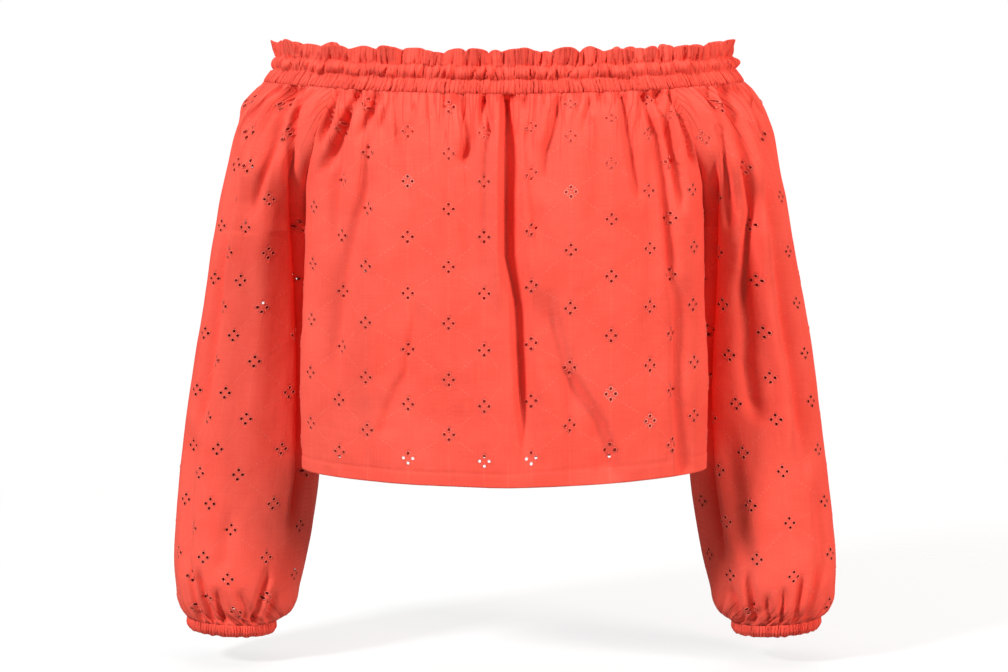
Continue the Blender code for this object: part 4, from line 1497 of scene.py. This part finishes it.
# The wearer's right sleeve, on the left of the photo; x counts outwards from the middle
RIGHT_SLEEVE_COLUMNS = (Line(-156, -5), Line(-121.5, -4), Line(-85.5, -3), Line(-63, -2),
                        Line(-47, -1), Line(-24, 0), Line(8, 1), Line(42, 2), Line(77, 3),
                        Line(111, 4), Line(146, 5))
RIGHT_SLEEVE_ROWS = tuple(Line(-12.3 - level, number) for number, level in enumerate(
    (-29, -52, -77, -105, -130, -153, -178, -202, -228, -251, -280, -303, -331, -353.5,
     -380, -403, -428, -447, -465, -477.5)))
RIGHT_SLEEVE_FRONT = (
    Crease(((199, -9), (201, -24)), 3, 3, -1.8, 4, 8),
    Crease(((186, -10), (191, -24), (195, -42), (204, -65), (213, -88), (220, -118)), 5, 8,
           -3.8, 6, 34),
    Crease(((177, -10), (184, -42), (187, -57), (190, -92)), 3.4, 5.5, -2.9, 6, 22),
    Crease(((226, -12), (227, -32), (231, -77), (239, -111), (247, -140), (254, -190)), 7, 4,
           1.8, 8, 40),
    Crease(((238, -60), (243, -111), (250, -150), (256, -178), (263, -236), (272, -290),
            (282, -340)), 6, 8, -3.4, 24, 60),
    Crease(((286, -330), (288, -390), (287, -410), (290, -446)), 6, 7, -2.2, 26, 20),
    Crease(((247, -395), (251, -427), (258, -446)), 8, 10, -1.2, 20, 16),
    Crease(((184, -64), (184, -110), (183, -170), (182, -260), (184, -356), (190, -400)), 5, 3.4,
           -5.0, 30, 30),
    Crease(((212, -130), (216, -200), (222, -280), (226, -340)), 15, 13, 1.2, 30, 60),
    Crease(((284, -440), (280, -466), (274, -490)), 3.4, 3.4, -2.0, 12, 2),
    Crease(((274, -448), (270, -468), (262, -491)), 3.0, 4.0, -2.6, 12, 2),
    Crease(((259, -462), (253, -491)), 3.4, 2.8, -2.6, 10, 2),
    Crease(((236, -462), (231, -478)), 3, 4, -1.4, 8, 8),
    Crease(((212, -448), (219, -470), (226, -491)), 3.0, 4.6, -2.6, 14, 2),
    Crease(((206, -466), (214, -491)), 2.8, 3.4, -2.2, 10, 2),
    Crease(((233, -478), (235, -491)), 2.4, 2.6, -1.6, 6, 2),
)
RIGHT_SLEEVE_BACK = (
    Crease(((186, -11), (192, -50), (206, -100)), 4, 8, -3.4, 6, 34),
    Crease(((200, -11), (214, -60), (232, -130)), 4, 8, -3.0, 6, 50),
    Crease(((176, -60), (184, -140), (196, -230)), 7, 10, -3.0, 24, 60),
    Crease(((246, -120), (256, -210), (262, -320)), 8, 10, -2.8, 30, 70),
    Crease(((218, -240), (226, -330), (230, -400)), 14, 9, -2.2, 40, 40),
    Crease(((214, -450), (222, -491)), 3, 4, -2.6, 12, 2),
    Crease(((240, -456), (243, -491)), 4, 3, -2.2, 12, 2),
    Crease(((268, -446), (262, -491)), 3.4, 3.4, -2.6, 12, 2),
    Crease(((284, -450), (274, -491)), 3.4, 3.4, -2.2, 12, 2),
)

LEFT_SLEEVE_COLUMNS = (Line(-160, -4), Line(-133, -3), Line(-107, -2), Line(-73, -1),
                       Line(-28, 0), Line(4, 1), Line(37, 2), Line(71, 3), Line(106, 4),
                       Line(140, 5), Line(162, 6))
LEFT_SLEEVE_ROWS = tuple(Line(-12.3 - level, number + 1) for number, level in enumerate(
    (-30, -54, -78, -104, -128, -153, -178, -200, -225, -246, -266, -290, -304, -334, -351,
     -381, -397, -429, -445, -475)))
LEFT_SLEEVE_FRONT = (
    Crease(((178, -10), (188, -38), (192, -62), (194, -86), (198, -130)), 3.4, 5, -3.2, 6, 30),
    Crease(((184, -16), (191, -44), (196, -80)), 5, 3, 1.8, 8, 30),
    Crease(((192, -10), (200, -38), (206, -48), (212, -66), (214, -85), (218, -115), (215, -139),
            (214, -160), (212, -200)), 5, 10, -4.2, 6, 40),
    Crease(((222, -16), (231, -57), (235, -80), (237, -110), (240, -150)), 4, 9, -2.8, 10, 34),
    Crease(((213, -180), (217, -229), (215, -251), (220, -284), (228, -306)), 9, 12, -2.8, 20, 20),
    Crease(((228, -130), (235, -186), (241, -229), (252, -273), (259, -340)), 9, 7, 2.4, 30, 40),
    Crease(((244, -150), (250, -208), (258, -251), (265, -294), (272, -345)), 6, 10, -3.0, 30, 50),
    Crease(((184, -90), (184, -190), (182, -280), (185, -360), (196, -430)), 5, 3.4, -5.0, 30, 30),
    Crease(((204, -330), (212, -400), (222, -446)), 12, 10, -1.4, 30, 30),
    Crease(((284, -380), (288, -420), (286, -452)), 6, 7, -1.9, 24, 14),
    Crease(((284, -446), (279, -470), (272, -491)), 3.2, 3.2, -2.2, 12, 2),
    Crease(((268, -452), (262, -491)), 3.0, 3.8, -2.6, 12, 2),
    Crease(((252, -460), (250, -491)), 3.2, 2.8, -2.2, 10, 2),
    Crease(((236, -466), (240, -491)), 3.0, 3.4, -1.9, 8, 2),
    Crease(((219, -450), (226, -491)), 3.0, 4.2, -2.6, 14, 2),
    Crease(((205, -460), (216, -491)), 2.8, 3.6, -2.3, 10, 2),
)
LEFT_SLEEVE_BACK = (
    Crease(((182, -11), (190, -50), (202, -96)), 4, 7, -3.2, 6, 30),
    Crease(((206, -11), (220, -64), (236, -140)), 4, 8, -3.2, 6, 50),
    Crease(((180, -70), (186, -150), (194, -240)), 7, 10, -2.8, 24, 60),
    Crease(((242, -110), (252, -200), (264, -300)), 8, 10, -2.8, 30, 70),
    Crease(((212, -230), (222, -320), (232, -390)), 14, 9, -2.2, 40, 40),
    Crease(((210, -452), (220, -491)), 3, 4, -2.6, 12, 2),
    Crease(((236, -450), (240, -491)), 4, 3, -2.4, 12, 2),
    Crease(((262, -458), (258, -491)), 3.4, 3.4, -2.2, 12, 2),
    Crease(((280, -448), (271, -491)), 3.4, 3.4, -2.4, 12, 2),
)


class Blouse:
    """The whole garment: its finishes and its seven pieces."""

    def __init__(self) -> None:
        """Build the shared node groups and the three finishes."""
        groups = {"weave": WeaveGroup().tree, "trellis": TrellisGroup().tree,
                  "crinkle": CrinkleGroup().tree, "gathers": GatherLineGroup().tree}
        coral, pale, deep = (0.94, 0.120, 0.082), (1.0, 0.30, 0.24), (0.87, 0.088, 0.058)
        self.cotton = CottonFinish("Eyelet cotton", Thread.EYELET, coral, pale, deep, 0.9, 0.5,
                                   groups).material()
        self.band = CottonFinish("Gathered cotton", Thread.GATHERED, coral, pale, deep, 0.9, 0.55,
                                 groups).material()
        # The wrong side is darker than the right side: painted shade for the unlit inside of the
        # garment and its holes.
        self.shaded_wrong_side = CottonFinish("Shaded wrong side of the cotton", Thread.PLAIN,
                                       (0.80, 0.085, 0.055), pale, (0.74, 0.070, 0.045), 0.95, 0.4,
                                       groups).material()
        self.pale_floss = CottonFinish("Pale floss", Thread.SATIN, (0.98, 0.36, 0.29), pale,
                                       (0.96, 0.32, 0.25), 0.6, 0.6, groups).material()
        self.floss = CottonFinish("Embroidery floss", Thread.SATIN, (0.98, 0.22, 0.165), pale,
                                  (0.93, 0.16, 0.12), 0.6, 0.6, groups).material()

    def build(self) -> None:
        """Build every piece in order, from the panels to the cuffs."""
        neck = dict(spacing=(3.4, 9.5), depth=(2.2, 7.0), reach=(12, 80), width=(1.9, 3.2))
        front = BodyPanel(
            "front_cloth", ("front",),
            Lattice(FRONT_COLUMNS, FRONT_ROWS, 2.3, 3.6, ((-10, 17, 1.5),),
                    ((313, 330, 1.4),)),
            300.0, PANEL_LENGTH, (0.56, 0.36), "gathered", area=0.175, flip=True,
            pale=FRONT_PALE,
            front=True, creases=FRONT_CREASES, gathers=GatherRow(175.0, **neck, seed=61),
            long_folds=GatherRow(170.0, (16, 36), (1.4, 3.8), (70, 260), (4.0, 7.5), 62),
            rise=15.0, rumple_seed=3)
        back = BodyPanel(
            "back_cloth", ("back",),
            Lattice(BACK_COLUMNS, BACK_ROWS, 2.7, 3.6), 262.0, PANEL_LENGTH, (0.50, 0.36),
            "gathered", area=0.150, flip=False, front=False, creases=BACK_CREASES,
            gathers=GatherRow(170.0, **neck, seed=67),
            long_folds=GatherRow(165.0, (16, 34), (1.2, 3.4), (60, 170), (3.6, 7.0), 68),
            rumple_seed=5)
        sleeves = []
        for word, side, columns, rows, ahead, behind, seed in (
                ("right", -1, RIGHT_SLEEVE_COLUMNS, RIGHT_SLEEVE_ROWS, RIGHT_SLEEVE_FRONT,
                 RIGHT_SLEEVE_BACK, 71),
                ("left", 1, LEFT_SLEEVE_COLUMNS, LEFT_SLEEVE_ROWS, LEFT_SLEEVE_FRONT,
                 LEFT_SLEEVE_BACK, 83)):
            sleeves.append(Sleeve(
                f"sleeve_{word}_cloth", (f"sleeve_{word}",), Lattice(columns, rows, 2.5, 3.6),
                196.0, NECK_LEVEL - SLEEVE_END_LEVEL - 2 * SEAM_GAP, (0.44, 0.50), "gathered",
                area=0.19,
                weld_from=NECK_LEVEL - SEAM_GAP - UNDERARM_LEVEL, flip=side > 0, side=side,
                front_creases=ahead, back_creases=behind,
                gathers=GatherRow(100.0, **neck, seed=seed),
                long_folds=GatherRow(96.0, (12, 26), (1.4, 3.8), (60, 170), (3.4, 6.0), seed + 3),
                cuff_gathers=GatherRow(150.0, (3.8, 9.0), (1.8, 5.0), (9, 40), (2.0, 3.2),
                                       seed + 1),
                rumple_seed=seed + 2))
        for piece in (front, back, *sleeves):
            piece.build(self.cotton, self.shaded_wrong_side, (self.floss, self.pale_floss))
        NeckBand().build(self.band)
        for word, side, seed in (("right", -1, 91), ("left", 1, 97)):
            Cuff(word, side, seed).build(self.band)


# Studio

@dataclass
class Studio:
    """Pale floor in white surroundings, soft lights and the camera."""
    eye_distance: float = 2.5
    aim_drop: float = 0.230
    lens: float = 99.626
    floor_level: float = -0.530

    def build(self) -> None:
        """Make the floor, the lights, the world and the camera."""
        bpy.context.scene.view_settings.view_transform = "Standard"
        self.floor()
        self.light("Key", (-2.1, -2.0, 1.55), (0, 0, -0.22), 0.6, 106.0)
        self.light("Fill", (2.2, -1.4, 0.7), (0, 0, -0.22), 0.8, 58.0, (1.0, 0.78, 0.72))
        self.light("Overhead", (0, 0.2, 2.4), (0, 0.1, -0.5), 2.6, 36.0)
        self.light("Rear", (0.6, 2.4, 1.2), (0, 0, -0.22), 1.6, 26.0)
        world = bpy.data.worlds.new("Studio")
        world.use_nodes = True
        graph = Graph(world.node_tree)
        soft = world.node_tree.nodes["Background"]
        soft.inputs["Color"].default_value = (1, 1, 1, 1)
        soft.inputs["Strength"].default_value = 0.12
        white = graph.add("ShaderNodeBackground", Color=(1, 1, 1, 1), Strength=1.0)
        seen = graph.add("ShaderNodeLightPath")
        mix = graph.add("ShaderNodeMixShader")
        graph.join(seen.outputs["Is Camera Ray"], mix.inputs[0])
        graph.join(soft.outputs[0], mix.inputs[1])
        graph.join(white.outputs[0], mix.inputs[2])
        graph.join(mix.outputs[0], world.node_tree.nodes["World Output"].inputs["Surface"])
        bpy.context.scene.world = world
        data = bpy.data.cameras.new("Camera")
        data.lens = self.lens
        data.sensor_width = 36.0
        camera = bpy.data.objects.new("Camera", data)
        camera.location = (0, -self.eye_distance, 0)
        camera.rotation_euler = (math.pi / 2 - math.atan2(self.aim_drop, self.eye_distance), 0, 0)
        bpy.context.scene.collection.objects.link(camera)
        bpy.context.scene.camera = camera

    def light(self, name: str, place: tuple, target: tuple, size: float, power: float,
              colour: tuple = (1.0, 1.0, 1.0)) -> None:
        """Add a square area light that faces a target.

        Args:
            name: name of the light.
            place: where it stands, in metres.
            target: where it faces.
            size: side of the square.
            power: power in watts.
            colour: colour of its light.
        """
        data = bpy.data.lights.new(name, "AREA")
        data.size = size
        data.energy = power
        data.color = colour
        lamp = bpy.data.objects.new(name, data)
        lamp.location = place
        aim = np.array(target) - np.array(place)
        lamp.rotation_euler = (math.atan2(math.hypot(aim[0], aim[1]), -aim[2]), 0,
                               math.atan2(-aim[0], aim[1]))
        bpy.context.scene.collection.objects.link(lamp)

    def floor(self) -> None:
        """Pale floor that fades out into the white surroundings.

        Its mesh is a flat grid; its alpha falls softly with the distance from the middle.
        """
        edge = np.linspace(-2.4, 2.4, 13)
        x, y = np.meshgrid(edge, edge, indexing="ij")
        grid = np.stack((x, y, np.full_like(x, self.floor_level)), -1).reshape(-1, 3)
        a, b = np.meshgrid(np.arange(12), np.arange(12), indexing="ij")
        faces = np.stack((a * 13 + b, (a + 1) * 13 + b, (a + 1) * 13 + b + 1,
                          a * 13 + b + 1), -1)
        disc = new_object("pale_floor", grid / MM, faces.reshape(-1, 4))
        material = bpy.data.materials.new("Pale floor")
        material.use_nodes = True
        graph = Graph(material.node_tree)
        shader = material.node_tree.nodes["Principled BSDF"]
        shader.inputs["Roughness"].default_value = 0.95
        place = graph.add("ShaderNodeTexCoord").outputs["Object"]
        noise = graph.add("ShaderNodeTexNoise", Scale=3.0, Detail=1.0)
        graph.join(place, noise.inputs["Vector"])
        far = graph.add("ShaderNodeVectorMath", operation="LENGTH")
        graph.join(place, far.inputs[0])
        outer = graph.add("ShaderNodeMapRange", From_Min=0.55, From_Max=1.1)
        graph.join(far.outputs["Value"], outer.inputs["Value"])
        # Near the middle the floor is tinted cyan, farther out neutral grey: painted colour that
        # cancels the red light the cloth throws onto the floor near it.
        bounce_cancel_tint = graph.add("ShaderNodeMix", data_type="RGBA")
        bounce_cancel_tint.inputs["A"].default_value = (0.91, 0.965, 0.965, 1)
        bounce_cancel_tint.inputs["B"].default_value = (0.94, 0.94, 0.94, 1)
        worn = graph.maths("MULTIPLY_ADD", noise.outputs["Fac"], 0.1, -0.05)
        graph.join(graph.maths("ADD", outer.outputs[0], worn), bounce_cancel_tint.inputs["Factor"])
        graph.join(bounce_cancel_tint.outputs["Result"], shader.inputs["Base Color"])
        fade = graph.add("ShaderNodeMapRange", interpolation_type="SMOOTHSTEP",
                         From_Min=0.7, From_Max=1.7, To_Min=0.3, To_Max=0.0)
        graph.join(far.outputs["Value"], fade.inputs["Value"])
        graph.join(fade.outputs[0], shader.inputs["Alpha"])
        disc.data.materials.append(material)


def main() -> None:
    """Build the blouse and the studio."""
    logging.basicConfig(level=logging.INFO, format="%(name)s: %(message)s")
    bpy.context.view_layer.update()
    Blouse().build()
    Studio().build()


if __name__ == "__main__":
    main()
